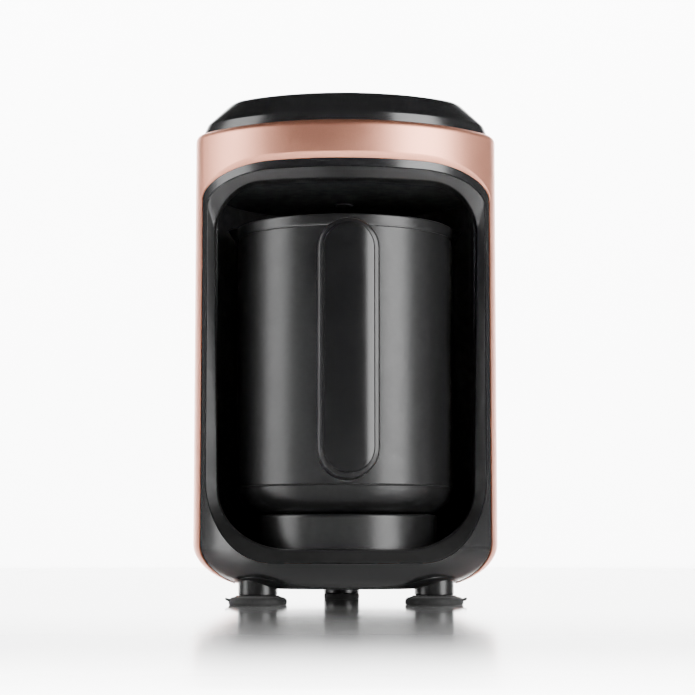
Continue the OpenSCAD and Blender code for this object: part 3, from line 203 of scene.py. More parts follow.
def bowl_share(rise, inset, z):
    """How far the bowl of the underside has run in at height z, from 0 to 1."""
    drop = max(0.0, UNDERSIDE + rise - z) / (rise - inset)
    return 1 - math.sqrt(max(0.0, 1 - min(1.0, drop) ** 2))


def bowl_insets(z, inset):
    """Side, front and rear inset and the front corner's radius at height z."""
    bowls = (BOWL_SIDE, BOWL_FRONT, BOWL_REAR)
    ways = [inset + (run - inset) * bowl_share(rise, inset, z) for run, rise in bowls]
    corner_r = FRONT_CORNER_R - inset + BOWL_CORNER_GROWTH * bowl_share(BOWL_SIDE[1], inset, z)
    return ways, corner_r


def body_ring(z, inset):
    """Outline of the body in plan at height z; its rear corners tighten as the bowl runs in."""
    (side_in, front_in, rear_in), corner_r = bowl_insets(z, inset)
    tighter = REAR_TIGHTER * (1 - math.exp(-(side_in + rear_in - 2 * inset) / REAR_TIGHTENS_OVER))
    return plan_outline(side_in, front_in, rear_in, corner_r, REAR_CORNER_R - inset - tighter)


def face_y(x, z, inset=0.0):
    """Depth of the body's front over a point of its front view."""
    (side_in, front_in, _), corner_r = bowl_insets(z, inset)
    curve_r, cx, cy = curve_of(side_in, front_in, corner_r)
    if abs(x) < cx * curve_r / (curve_r - corner_r):
        return CURVE_CY - math.sqrt(curve_r**2 - x**2)
    return cy - math.sqrt(max(0.0, corner_r**2 - (abs(x) - cx) ** 2))


def portal(w_low, w_top, z_low, z_top, low, high, grow=0.0):
    """Closed outline of an opening in the front view, with quarter ellipses at its corners."""
    w_low, w_top, z_low, z_top = w_low + grow, w_top + grow, z_low - grow, z_top + grow
    low = (low[0] + grow, low[1] + grow)
    high = (high[0] + grow, high[1] + grow)
    half = [((w_low - low[0]) * i / EDGE_STEPS, z_low) for i in range(EDGE_STEPS)]
    half += arc_points(w_low - low[0], z_low + low[1], low[0], low[1], -90, 0, BOWL_STEPS)
    side_low, side_high = z_low + low[1], z_top - high[1]
    half += [(w_low + (w_top - w_low) * i / EDGE_STEPS, side_low + (side_high - side_low) * i / EDGE_STEPS)
             for i in range(1, EDGE_STEPS)]
    half += arc_points(w_top - high[0], z_top - high[1], high[0], high[1], 0, 90, BOWL_STEPS)
    half += [((w_top - high[0]) * (1 - i / EDGE_STEPS), z_top) for i in range(1, EDGE_STEPS + 1)]
    return half + mirrored(half)[1:-1]


def cut_outline(grow=0.0):
    return portal(CUT_HALF_W, CUT_HALF_W, CUT_BOTTOM, CUT_TOP, CUT_LOW, CUT_HIGH, grow)


def lip_outline(share):
    """The cut's outline where its lip has opened by this share."""
    side, top = LIP_SIDE * share, LIP_TOP * share
    return portal(CUT_HALF_W + side, CUT_HALF_W + side, CUT_BOTTOM - side, CUT_TOP + top,
                  (CUT_LOW[0] + side, CUT_LOW[1] + side), (CUT_HIGH[0] + side, CUT_HIGH[1] + top))


def window_outline(grow=0.0):
    return portal(WINDOW_HALF_W, WINDOW_HALF_W, WINDOW_BOTTOM, WINDOW_TOP, WINDOW_LOW, WINDOW_HIGH, grow)


def mouth_outline(grow=0.0):
    return portal(MOUTH_LOW_HALF_W, MOUTH_TOP_HALF_W, MOUTH_BOTTOM, MOUTH_TOP, MOUTH_LOW, MOUTH_HIGH, grow)


def rounded_outline(length, width, r, steps=CORNER_STEPS):
    """Rounded rectangle round the origin."""
    corners = ((1, -1, -90), (1, 1, 0), (-1, 1, 90), (-1, -1, 180))
    points = []
    for sx, sy, start in corners:
        points += arc_points(sx * (length / 2 - r), sy * (width / 2 - r), r, r, start, start + 90, steps)
    return points


def soft_profile(points, radii, steps=5):
    """Run of points with each inner corner rounded; a radius of 0 leaves it sharp."""
    out = []
    for i, (p, r) in enumerate(zip(points, radii)):
        if r == 0 or i in (0, len(points) - 1):
            out.append(tuple(p))
            continue
        here, before, after = Vector(p), Vector(points[i - 1]), Vector(points[i + 1])
        a = here.lerp(before, min(r / (before - here).length, 0.49))
        b = here.lerp(after, min(r / (after - here).length, 0.49))
        for k in range(steps + 1):
            t = k / steps
            out.append(tuple(a * (1 - t) ** 2 + here * 2 * t * (1 - t) + b * t**2))
    return out


def soft_loop(points, radii, steps):
    """Closed run of points with each corner rounded."""
    return soft_profile([points[-1]] + points + [points[0]], (0, *radii, 0), steps)[1:-1]


# ---- meshes


def add_object(name, data):
    obj = bpy.data.objects.new(name, data)
    bpy.context.scene.collection.objects.link(obj)
    return obj


def new_object(name, points, faces):
    """Mesh object from points in millimetres, with its faces turned outwards."""
    mesh = bpy.data.meshes.new(name)
    mesh.from_pydata([[c * MM for c in p] for p in points], [], faces)
    shape = bmesh.new()
    shape.from_mesh(mesh)
    bmesh.ops.remove_doubles(shape, verts=shape.verts, dist=WELD * MM)
    bmesh.ops.recalc_face_normals(shape, faces=shape.faces)
    shape.to_mesh(mesh)
    shape.free()
    return add_object(name, mesh)


def ring_faces(rings, count, loop):
    """Quads that join this many rings of count points each, and in a loop the last to the first."""
    faces = []
    for k in range(rings if loop else rings - 1):
        up = (k + 1) % rings
        for i in range(count):
            j = (i + 1) % count
            faces.append((k * count + i, k * count + j, up * count + j, up * count + i))
    return faces


def loft(name, rings, loop=False):
    """Solid through rings of as many points each, closed at its ends or round in a loop."""
    count, last = len(rings[0]), len(rings)
    faces = ring_faces(last, count, loop)
    if not loop:
        faces.append(tuple(reversed(range(count))))
        faces.append(tuple((last - 1) * count + i for i in range(count)))
    return new_object(name, [p for ring in rings for p in ring], faces)


def at_height(outline, z, y=BODY_Y):
    return [(x, d + y, z) for x, d in outline]


def at_depth(outline, y, z=0.0):
    return [(x, y, h + z) for x, h in outline]


def prism_z(name, outline, low, high, y=BODY_Y):
    return loft(name, [at_height(outline, low, y), at_height(outline, high, y)])


def prism_y(name, outline, front, back, z=0.0):
    return loft(name, [at_depth(outline, front, z), at_depth(outline, back, z)])


def prism_x(name, outline, left, right):
    return loft(name, [[(x, y, z) for y, z in outline] for x in (left, right)])


def box(name, low, high):
    corners = [(low[0], low[1]), (high[0], low[1]), (high[0], high[1]), (low[0], high[1])]
    return loft(name, [[(x, y, z) for x, y in corners] for z in (low[2], high[2])])


def lathe(name, profile, x=0.0, y=POT_Y, steps=LATHE_STEPS):
    """Solid turned round an upright axis from a profile of (radius, height).

    The profile is closed, or it starts and ends on the axis.
    """
    on_axis = profile[0][0] == 0
    rings = profile[1:-1] if on_axis else profile
    points = [(x + r * math.cos(a), y + r * math.sin(a), z) for r, z in rings for a in full_turn(steps)]
    faces = ring_faces(len(rings), steps, not on_axis)
    if on_axis:
        low, high = len(points), len(points) + 1
        points += [(x, y, profile[0][1]), (x, y, profile[-1][1])]
        top = (len(rings) - 1) * steps
        for i in range(steps):
            j = (i + 1) % steps
            faces += [(low, j, i), (high, top + i, top + j)]
    return new_object(name, points, faces)


def lathe_y(name, profile, x, z, steps=LATHE_STEPS):
    """Solid turned round an axis along the depth from a closed profile of (radius, depth)."""
    turns = full_turn(steps)
    rings = [[(x + r * math.cos(a), y, z + r * math.sin(a)) for a in turns] for r, y in profile]
    return loft(name, rings, loop=True)


def apply_modifiers(obj):
    depsgraph = bpy.context.evaluated_depsgraph_get()
    made = bpy.data.meshes.new_from_object(obj.evaluated_get(depsgraph))
    obj.modifiers.clear()
    old, obj.data = obj.data, made
    bpy.data.meshes.remove(old)
    return obj


def clean(obj):
    """Merges points that a cut left almost on top of each other."""
    shape = bmesh.new()
    shape.from_mesh(obj.data)
    bmesh.ops.remove_doubles(shape, verts=shape.verts, dist=MERGE * MM)
    bmesh.ops.dissolve_degenerate(shape, edges=shape.edges, dist=MERGE * MM)
    shape.to_mesh(obj.data)
    shape.free()
    return obj


def combine(obj, operation, tools):
    """Applies one boolean per tool, deletes the tools and cleans the result."""
    for tool in tools:
        modifier = obj.modifiers.new(operation, "BOOLEAN")
        modifier.operation = operation
        modifier.solver = "EXACT"
        modifier.object = tool
        apply_modifiers(obj)
        bpy.data.objects.remove(tool)
    return clean(obj)


def cut(obj, *tools):
    return combine(obj, "DIFFERENCE", tools)


def keep(obj, *tools):
    return combine(obj, "INTERSECT", tools)


def join(obj, *tools):
    return combine(obj, "UNION", tools)


def round_edges(obj, width, segments=3, angle=38.0):
    """Rounds the edges that are sharper than the angle."""
    modifier = obj.modifiers.new("edge", "BEVEL")
    modifier.width = width * MM
    modifier.segments = segments
    modifier.limit_method = "ANGLE"
    modifier.angle_limit = math.radians(angle)
    modifier.use_clamp_overlap = True
    modifier.miter_outer = "MITER_ARC"
    return apply_modifiers(obj)


def smooth(obj, angle=40.0):
    """Smooth shading that leans on the large faces and keeps true corners."""
    obj.data.shade_smooth()
    obj.data.set_sharp_from_angle(angle=math.radians(angle))
    modifier = obj.modifiers.new("normals", "WEIGHTED_NORMAL")
    modifier.keep_sharp = True
    modifier.weight = 60
    return obj


def dress(obj, material, body, *nodes):
    """The piece's finish, the body it rides on and the CAD nodes it stands for."""
    obj.data.materials.clear()
    obj.data.materials.append(MATERIALS[material])
    smooth(obj)
    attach(obj, body)
    if nodes:
        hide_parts(*nodes)
    return obj


# ---- materials


def set_inputs(node, **values):
    """Sets the node's inputs by name, with an underscore for each space in it."""
    for name, value in values.items():
        node.inputs[name.replace("_", " ")].default_value = value


def map_range(tree, source, from_low, from_high, low, high, kind="LINEAR"):
    """Carries a source from one range over to another, within a node tree."""
    spread = tree.nodes.new("ShaderNodeMapRange")
    spread.interpolation_type = kind
    set_inputs(spread, From_Min=from_low, From_Max=from_high, To_Min=low, To_Max=high)
    tree.links.new(source, spread.inputs["Value"])
    return spread.outputs["Result"]


class Finish:
    """Principled material whose colour, roughness and relief vary over the surface."""

    def __init__(self, name, roughness, metallic=0.0, coat=0.0, coat_roughness=0.1, ior=1.5):
        self.material = bpy.data.materials.new(name)
        self.material.use_nodes = True
        self.nodes = self.material.node_tree.nodes
        self.links = self.material.node_tree.links
        self.shader = self.nodes["Principled BSDF"]
        set_inputs(self.shader, Roughness=roughness, Metallic=metallic, Coat_Weight=coat,
                   Coat_Roughness=coat_roughness, IOR=ior)
        self.place = self.nodes.new("ShaderNodeTexCoord").outputs["Object"]

    def stretched(self, scale):
        mapping = self.nodes.new("ShaderNodeMapping")
        set_inputs(mapping, Scale=scale)
        self.links.new(self.place, mapping.inputs["Vector"])
        return mapping.outputs["Vector"]

    def texture(self, kind, place, **values):
        made = self.nodes.new("ShaderNodeTex" + kind)
        set_inputs(made, **values)
        self.links.new(place, made.inputs["Vector"])
        return made

    def noise(self, per_metre, detail=3.0, scale=(1, 1, 1)):
        return self.texture("Noise", self.stretched(scale), Scale=per_metre, Detail=detail).outputs["Fac"]

    def cells(self, per_metre, output="Distance"):
        return self.texture("Voronoi", self.place, Scale=per_metre).outputs[output]

    def bands(self, per_metre, direction, distortion):
        made = self.texture("Wave", self.place, Scale=per_metre, Distortion=distortion)
        made.bands_direction = direction
        return made.outputs["Fac"]

    def span(self, source, low, high, from_low=0.3, from_high=0.7):
        return map_range(self.material.node_tree, source, from_low, from_high, low, high)

    def colour(self, source, first, second, low=0.3, high=0.7):
        ramp = self.nodes.new("ShaderNodeValToRGB")
        for stop, place, tone in zip(ramp.color_ramp.elements, (low, high), (first, second)):
            stop.position = place
            stop.color = (*tone, 1)
        self.links.new(source, ramp.inputs["Fac"])
        self.links.new(ramp.outputs["Color"], self.shader.inputs["Base Color"])
        return self

    def rough(self, source, low, high):
        self.links.new(self.span(source, low, high), self.shader.inputs["Roughness"])
        return self

    def relief(self, *layers):
        """Bump from layers of (height source, depth in millimetres)."""
        normal = None
        for source, depth in layers:
            bump = self.nodes.new("ShaderNodeBump")
            set_inputs(bump, Strength=1.0, Distance=depth * MM)
            self.links.new(source, bump.inputs["Height"])
            if normal:
                self.links.new(normal, bump.inputs["Normal"])
            normal = bump.outputs["Normal"]
        self.links.new(normal, self.shader.inputs["Normal"])
        return self


def shade(colour, factor):
    return tuple(c * factor for c in colour)


def rose_metallic():
    """Satin rose-gold lacquer over fine metal flake."""
    finish = Finish("rose_metallic", 0.39, metallic=0.95, coat=0.2, coat_roughness=0.35)
    tone = (0.93, 0.405, 0.28)
    flake = finish.cells(5200, "Color")
    finish.colour(flake, shade(tone, 0.93), shade(tone, 1.06), 0.1, 0.9)
    finish.rough(finish.noise(45, 4), 0.37, 0.42)
    return finish.relief((finish.noise(1400, 2), 0.004), (finish.noise(60, 1), 0.02))


def gloss_black():
    """Polished black plastic with a faint waviness of the moulding."""
    finish = Finish("gloss_black", 0.2, ior=1.6)
    finish.colour(finish.noise(25, 2), (0.008, 0.008, 0.0085), (0.012, 0.012, 0.0125))
    finish.rough(finish.noise(60, 3), 0.19, 0.22)
    return finish.relief((finish.noise(30, 1), 0.005), (finish.noise(900, 2), 0.0006))


def satin_black():
    """Fine-eroded satin plastic."""
    finish = Finish("satin_black", 0.36)
    finish.colour(finish.noise(400, 3), (0.0085, 0.0085, 0.0088), (0.0125, 0.0125, 0.0128))
    finish.rough(finish.noise(160, 4), 0.29, 0.35)
    return finish.relief((finish.noise(2600, 3), 0.010))


def frame_black():
    """Silky black of the surround, a shade lighter than the polished frame."""
    finish = Finish("frame_black", 0.36, ior=1.65)
    finish.colour(finish.noise(180, 3), (0.013, 0.013, 0.013), (0.018, 0.018, 0.018))
    finish.rough(finish.noise(140, 4), 0.33, 0.40)
    return finish.relief((finish.noise(1800, 2), 0.006))


def cover_black():
    """Polished black of the handle's insert, blurred by a fine grain."""
    finish = Finish("cover_black", 0.2, ior=1.5)
    finish.colour(finish.noise(60, 2), (0.006, 0.006, 0.0063), (0.008, 0.008, 0.0083))
    finish.rough(finish.noise(80, 2), 0.19, 0.21)
    return finish.relief((finish.noise(900, 2), 0.0006))


def inner_black():
    finish = Finish("inner_black", 0.6)
    finish.colour(finish.noise(300, 3), (0.012, 0.012, 0.013), (0.020, 0.020, 0.021))
    finish.rough(finish.noise(200, 4), 0.52, 0.68)
    return finish.relief((finish.noise(1500, 4), 0.03))


def rubber_black():
    finish = Finish("rubber_black", 0.7)
    set_inputs(finish.shader, Sheen_Weight=0.15, Sheen_Roughness=0.5)
    finish.colour(finish.noise(250, 4), (0.014, 0.014, 0.014), (0.026, 0.026, 0.026))
    finish.rough(finish.noise(350, 4), 0.58, 0.78)
    return finish.relief((finish.noise(1900, 3), 0.02))


def steel():
    """Brushed steel, with its brush lines round the upright axis."""
    finish = Finish("steel", 0.28, metallic=1.0)
    brush = finish.noise(1200, 2, scale=(0.15, 0.15, 3.0))
    finish.colour(finish.noise(60, 2), (0.68, 0.68, 0.69), (0.74, 0.74, 0.74))
    finish.rough(brush, 0.27, 0.31)
    return finish.relief((brush, 0.0006))


def circuit_board():
    """Green solder mask over a fine pattern of tracks."""
    finish = Finish("circuit_board", 0.32, coat=0.2)
    finish.colour(finish.cells(420), (0.008, 0.085, 0.035), (0.018, 0.15, 0.07), 0.15, 0.35)
    finish.rough(finish.noise(500, 3), 0.25, 0.42)
    return finish.relief((finish.cells(420), 0.03))


def copper():
    """Enamelled copper with the lines of its turns."""
    finish = Finish("copper", 0.3, metallic=0.95)
    turns = finish.bands(320, "Z", 0.4)
    finish.colour(turns, (0.48, 0.20, 0.075), (0.78, 0.42, 0.20), 0.2, 0.8)
    finish.rough(finish.noise(300, 3), 0.24, 0.36)
    return finish.relief((turns, 0.10))


def aluminium():
    finish = Finish("aluminium", 0.36, metallic=1.0)
    drawn = finish.noise(600, 2, scale=(0.2, 3.0, 3.0))
    finish.colour(finish.noise(60, 2), (0.66, 0.67, 0.69), (0.75, 0.76, 0.78))
    finish.rough(drawn, 0.30, 0.44)
    return finish.relief((drawn, 0.006))


def smoked_lens():
    finish = Finish("smoked_lens", 0.12, coat=0.5, coat_roughness=0.05)
    finish.colour(finish.noise(700, 2), (0.10, 0.10, 0.11), (0.16, 0.16, 0.175))
    finish.rough(finish.noise(500, 2), 0.08, 0.16)
    return finish.relief((finish.noise(900, 2), 0.004))


MAKERS = (rose_metallic, gloss_black, satin_black, frame_black, cover_black, inner_black, rubber_black, steel,
          circuit_board, copper, aluminium, smoked_lens)
MATERIALS = {make.__name__: make().material for make in MAKERS}


# ---- housing


def skin_rings(inset, top):
    """Rings of the body's skin from its flat bottom up to the given height."""
    bowl_top, rise = UNDERSIDE + BOWL_SIDE[1], BOWL_SIDE[1] - inset
    heights = [bowl_top - rise * math.cos(math.pi / 2 * i / BOWL_STEPS) for i in range(BOWL_STEPS + 1)]
    rings = [at_height(body_ring(z, inset), z) for z in heights]
    start, wall = heights[-1], plan_inset(inset)
    rings += [at_height(wall, start + (top - start) * i / WALL_STEPS) for i in range(1, WALL_STEPS + 1)]
    return rings


def closed_skin(name, inset, wall, top, between=()):
    """Shell with a closed bottom: outer rings up, rings between at the top, inner rings down."""
    inner = skin_rings(inset + wall, between[-1][0][2] if between else top)
    rings = skin_rings(inset, top) + list(between) + list(reversed(inner))
    return loft(name, rings)


def base_prism(grow, high=BASE_ZONE_TOP):
    """Block over the bottom cover's area, from the table up."""
    width, depth = 2 * (BASE_HALF_W + grow), BASE_REAR - BASE_FRONT + 2 * grow
    outline = rounded_outline(width, depth, BASE_CORNER_R + grow)
    return prism_z("base_area", outline, 0, high, BODY_Y + (BASE_FRONT + BASE_REAR) / 2)


def lip_cutter():
    """Cutter of the front opening, whose edge opens into a soft lip at the face."""
    rings = [at_depth(lip_outline(1.0), AHEAD)]
    for i in range(LIP_STEPS + 1):
        share = 1 - i / LIP_STEPS
        depth = LIP_DEPTH * (1 - share) ** LIP_BEND if i else -0.05
        rings.append([(x, face_y(x, z) + BODY_Y + depth, z) for x, z in lip_outline(share)])
    back = FRAME_BACK + BODY_Y
    rings.append([(x, max(back, y), z) for x, y, z in rings[-1]])
    return loft("front_cut", rings)


FRAME_BACK = curve_of(0, 0, FRONT_CORNER_R)[2] + 3.0
VENT_COUNT = 9
VENT_PITCH = 6.0
VENT_L = 52.0
VENT_H = 2.6
VENT_BOTTOM = 142.0
GLAND_X = HALF_W - 41.5
GLAND_Z = 46.0
GLAND_BORE_R = 3.6
GLAND_NECK_R = 6.5
GLAND_COLLAR_R = 9.5


def outer_sleeve():
    """Coloured shell with a round shoulder, the front opening, vent slots and the gland's hole."""
    shoulder_z = SLEEVE_TOP - SHOULDER
    shoulder = []
    for i in range(1, SHOULDER_STEPS + 1):
        a = math.pi / 2 * i / SHOULDER_STEPS
        outline = plan_inset(SHOULDER * (1 - math.cos(a)))
        shoulder.append(at_height(outline, shoulder_z + SHOULDER * math.sin(a)))
    seat = plan_inset(SHOULDER + SEAT_LEDGE)
    between = shoulder + [at_height(seat, SLEEVE_TOP), at_height(seat, shoulder_z)]
    sleeve = closed_skin("outer_sleeve_skin", 0, SLEEVE_WALL, shoulder_z, between)
    tools = []
    slot_outline = rounded_outline(VENT_L, VENT_H, VENT_H / 2 - 0.05)
    for i in range(VENT_COUNT):
        z = VENT_BOTTOM + VENT_H / 2 + i * VENT_PITCH
        tools.append(prism_y("vent", slot_outline, *REAR_HOLE, z))
    hole = circle(GLAND_X, GLAND_Z, GLAND_NECK_R + 0.1, 48)
    cut(sleeve, *tools, prism_y("gland_hole", hole, *REAR_HOLE))
    cut(sleeve, lip_cutter(), base_prism(SEAM))
    round_edges(sleeve, 0.35, 2)
    dress(sleeve, "rose_metallic", "housing", "outer_sleeve")


def front_frame():
    """Glossy frame and chin, which fill the sleeve's opening round the window."""
    frame_piece = closed_skin("front_frame_skin", FRAME_INSET, FRAME_WALL, CUT_TOP + 1)
    keep(frame_piece, prism_y("cut_area", cut_outline(-SEAM), AHEAD, FRAME_BACK - SEAM + BODY_Y))
    cut(frame_piece, prism_y("window", window_outline(), AHEAD, BODY_Y), base_prism(SEAM))
    round_edges(frame_piece, 0.7, 3)
    dress(frame_piece, "gloss_black", "housing", "front_frame")


def opening_surround():
    """Chamfered band from the frame's window to the bay's mouth, with a straight wall behind it."""
    window, mouth, back = window_outline(-0.1), mouth_outline(), mouth_outline(SURROUND_WALL)
    front_in, lip_in = BODY_Y + FRAME_INSET + SURROUND_SUNK, BODY_Y + SURROUND_DEPTH
    front = [(x, face_y(x, z) + front_in, z) for x, z in window]
    lip = [(x, face_y(x, max(z, SURROUND_LEVEL_Z)) + lip_in, z) for x, z in mouth]
    rings = []
    for inward, deep in soft_profile([(0, 0), SURROUND_CHAMFER, (1, 1)], (0, 0.12, 0), 5):
        shares = (inward, deep, inward)
        rings.append([tuple(a + (b - a) * way for a, b, way in zip(p, q, shares))
                      for p, q in zip(front, lip)])
    rings.append([(q[0], p[1], q[1]) for p, q in zip(lip, back)])
    rings.append([(x, y + SURROUND_LAND, z) for x, y, z in front])
    band = loft("opening_surround_band", rings, loop=True)
    round_edges(band, 0.6, 3)
    dress(band, "frame_black", "housing", "opening_surround")


PANEL_L = 84.0
PANEL_W = 30.0
PANEL_Y = FRONT_Y + 48.0

# The lid's sides, front and rear lean in this far between its foot and its top edge
LID_LEANS = (15.2, 7.7, 13.0)
LID_FOOT_IN = SHOULDER + 0.6
LID_CREASE_Z = SLEEVE_TOP + 4.9
LID_CREASE_LEAN = 0.118
LID_CREASE_FRONT_IN = LID_FOOT_IN + 0.2
LID_EDGE_LEAN = 0.83
LID_EDGE_DROP = 1.4
LID_CAP_IN = 6.0
LID_WALL = 2.4


def lid_ring(lean, inset=0.0):
    """Side, front and rear inset where the lid has leaned in by this share."""
    return tuple(LID_FOOT_IN + way * lean + inset for way in LID_LEANS)


def crease_ring(inset=0.0):
    """Insets at the crease between the lid's facets, where the front one is steeper than the sides."""
    side_in, _, rear_in = lid_ring(LID_CREASE_LEAN, inset)
    return side_in, LID_CREASE_FRONT_IN + inset, rear_in


def lid_plan(side_in, front_in, rear_in, z):
    corner_r = FRONT_CORNER_R - min(side_in, LID_FOOT_IN)
    return at_height(plan_outline(side_in, front_in, rear_in, corner_r, REAR_CORNER_R - LID_FOOT_IN), z)


def lid():
    """Hollow lid with a steep lower facet, a leaning upper one and the panel's recess."""
    corners = [(SHOULDER, SHOULDER, SHOULDER, SLEEVE_TOP), (*crease_ring(), LID_CREASE_Z),
               (*lid_ring(LID_EDGE_LEAN), LID_TOP - LID_EDGE_DROP), (*lid_ring(1), LID_TOP),
               (*lid_ring(1, LID_CAP_IN), LID_TOP)]
    top = loft("lid_shell", [lid_plan(*ring) for ring in soft_profile(corners, (0, 1.0, 1.6, 1.1, 0))])
    inner = [(*lid_ring(LID_EDGE_LEAN, LID_WALL), LID_TOP - LID_WALL),
             (*crease_ring(LID_WALL), LID_CREASE_Z),
             (*lid_ring(0, LID_WALL), SLEEVE_TOP - 1)]
    cut(top, loft("lid_hollow", [lid_plan(*ring) for ring in inner]))
    recess = rounded_outline(PANEL_L, PANEL_W, PANEL_W / 2 - 0.01, ROUND_STEPS)
    cut(top, prism_z("panel_recess", recess, LID_TOP - LID_WALL - 1, LID_TOP + 1, PANEL_Y + BODY_Y))
    round_edges(top, 0.3, 2)
    dress(top, "gloss_black", "housing", "lid")


SCREW_HEAD_R = 3.0
SCREW_HEAD_H = 2.2
SCREW_HOLE_R = 1.7
SCREW_BOSS_R = 5.5
SCREW_BOSS_ROOF = 2.0


def screw_wells(cover):
    """Bosses with sunk wells, in which the heads of the cover's four screws sit."""
    low, high = box_mm("cover_screws")
    head_top, well_r = low.z + SCREW_HEAD_H, SCREW_HEAD_R + 0.2
    boss_top = head_top + SCREW_BOSS_ROOF
    boss = [(0, low.z), (SCREW_BOSS_R, low.z), (SCREW_BOSS_R, boss_top), (0, boss_top)]
    well = [(0, 0), (well_r, 0), (well_r, head_top), (SCREW_HOLE_R, head_top), (SCREW_HOLE_R, boss_top + 1),
            (0, boss_top + 1)]
    for x in (low.x + SCREW_HEAD_R, high.x - SCREW_HEAD_R):
        for y in (low.y + SCREW_HEAD_R, high.y - SCREW_HEAD_R):
            join(cover, lathe("screw_boss", boss, x, y, 48))
            cut(cover, lathe("screw_well", well, x, y, 48))


FOOT_X = HALF_W - 33.2
FOOT_Y = FRONT_Y + 35.0
REAR_FOOT_Y = REAR_Y - 33.0
STEM_R = 9.85
STEM_TOP = 17.5
CUP_R = 14.7
CUP_H = 4.8
REAR_FOOT_R = 9.9
REAR_PAD_H = 3.0
PLUG_R = 4.0
PLUG_H = 6.0
TAB_ROOT = CUP_R - 4
TAB_REACH = 16.4
TAB_HALF_W = 4.0
TAB_T = 1.3
TAB_STRAIGHT = 0.45
TAB_STEPS = 8
FEET = ((-FOOT_X, FOOT_Y, STEM_R, CUP_H), (FOOT_X, FOOT_Y, STEM_R, CUP_H),
        (0.0, REAR_FOOT_Y, REAR_FOOT_R, REAR_PAD_H))
BASE_SLOTS = 5
BASE_SLOT_L = 30.0
BASE_SLOT_W = 3.0
BASE_SLOT_PITCH = 6.0
BASE_SLOT_Y = 3.5


def base_plate():
    """Bottom cover with the stems of the feet, air slots and the wells of its screws."""
    cover = closed_skin("base_plate", FRAME_INSET, BASE_WALL, BASE_LOFT_TOP)
    keep(cover, base_prism(0, BASE_ZONE_TOP - 1))
    for x, y, r, z in FEET:
        stem = [(0, z), (r - 0.6, z), (r, z + 0.6), (r, STEM_TOP), (0, STEM_TOP)]
        join(cover, lathe("stem", stem, x, y + BODY_Y, 72))
        plug = [(0, z - 1), (PLUG_R, z - 1), (PLUG_R, z + PLUG_H), (0, z + PLUG_H)]
        cut(cover, lathe("plug_hole", plug, x, y + BODY_Y, 40))
    slot_outline = rounded_outline(BASE_SLOT_L, BASE_SLOT_W, BASE_SLOT_W / 2 - 0.05)
    for i in range(BASE_SLOTS):
        y = BODY_Y + BASE_SLOT_Y + BASE_SLOT_PITCH * i
        cut(cover, prism_z("slot", slot_outline, 0, BASE_ZONE_TOP, y))
    screw_wells(cover)
    round_edges(cover, 0.3, 2)
    dress(cover, "satin_black", "housing", "bottom_cover")


def suction_foot(side, node):
    """Rubber cup with a thin lip and a pull tab that curls up."""
    profile = [(0, 2.4), (6, 2.2), (10, 1.2), (CUP_R - 1.6, 0.0), (CUP_R - 0.5, 0.0), (CUP_R, 0.6),
               (CUP_R, CUP_H - 2.2), (CUP_R - 1.2, CUP_H - 1.0), (STEM_R + 1.6, CUP_H - 0.6),
               (STEM_R + 0.8, CUP_H), (PLUG_R, CUP_H), (PLUG_R - 0.1, 10), (0, 10)]
    radii = (0, 2, 2, 0.4, 0.3, 0.3, 0.9, 0.9, 0.5, 0.3, 0.2, 0.5, 0)
    foot_x, foot_y = side * FOOT_X, FOOT_Y + BODY_Y
    foot = lathe(node + "_cup", soft_profile(profile, radii, 4), foot_x, foot_y, 96)
    rings = []
    for i in range(TAB_STEPS + 1):
        t = i / TAB_STEPS
        x = foot_x + side * (TAB_ROOT + (TAB_REACH - TAB_ROOT) * t)
        half = TAB_HALF_W * math.sqrt(max(0.04, 1 - max(0.0, t - TAB_STRAIGHT) ** 2 / 0.36))
        low = TAB_T + TAB_T * t**2
        edge = ((-half, low), (half, low), (half, low + TAB_T), (-half, low + TAB_T))
        rings.append([(x, foot_y + y, z) for y, z in edge])
    tab = loft("tab", rings)
    round_edges(tab, 0.4, 2)
    join(foot, tab)
    dress(foot, "rubber_black", "housing", node)


def rear_pad():
    """Plain pad with a plug that sits in the rear stem."""
    plug_r = PLUG_R - 0.05
    profile = [(0, 0.4), (6.5, 0.4), (7, 0), (REAR_FOOT_R, 0), (REAR_FOOT_R, REAR_PAD_H),
               (plug_r, REAR_PAD_H), (plug_r, 8), (0, 8)]
    pad = soft_profile(profile, (0, 0.3, 0.3, 0.7, 0.2, 0.2, 0.6, 0), 3)
    disc = lathe("rear_foot_pad_disc", pad, 0, REAR_FOOT_Y + BODY_Y, 96)
    dress(disc, "rubber_black", "housing", "rear_foot_pad")


LINER_WALL = 2.5
DOCK_WALL = 2.5
DOCK_TOP_T = 2.0
DOCK_GROOVE_IN = 9.0


def bay_liner():
    """Smooth U-shaped wall of the bay."""
    front, r_out, r_in = liner_low.y - POT_Y, liner_high.x, liner_high.x - LINER_WALL
    outer = [(r_out, front)] + arc_points(0, 0, r_out, r_out, 0, 180, 64) + [(-r_out, front)]
    inner = [(-r_in, front)] + arc_points(0, 0, r_in, r_in, 180, 0, 64) + [(r_in, front)]
    wall = prism_z("bay_liner_wall", outer + inner, dock_low.z, liner_high.z, POT_Y)
    low, high = box_mm("connector_block")
    room = Vector((0.1, 0.5, 0.1))
    cut(wall, box("connector_hole", low - room, high + room))
    round_edges(wall, 0.4, 2)
    dress(wall, "inner_black", "housing", "bay_liner")


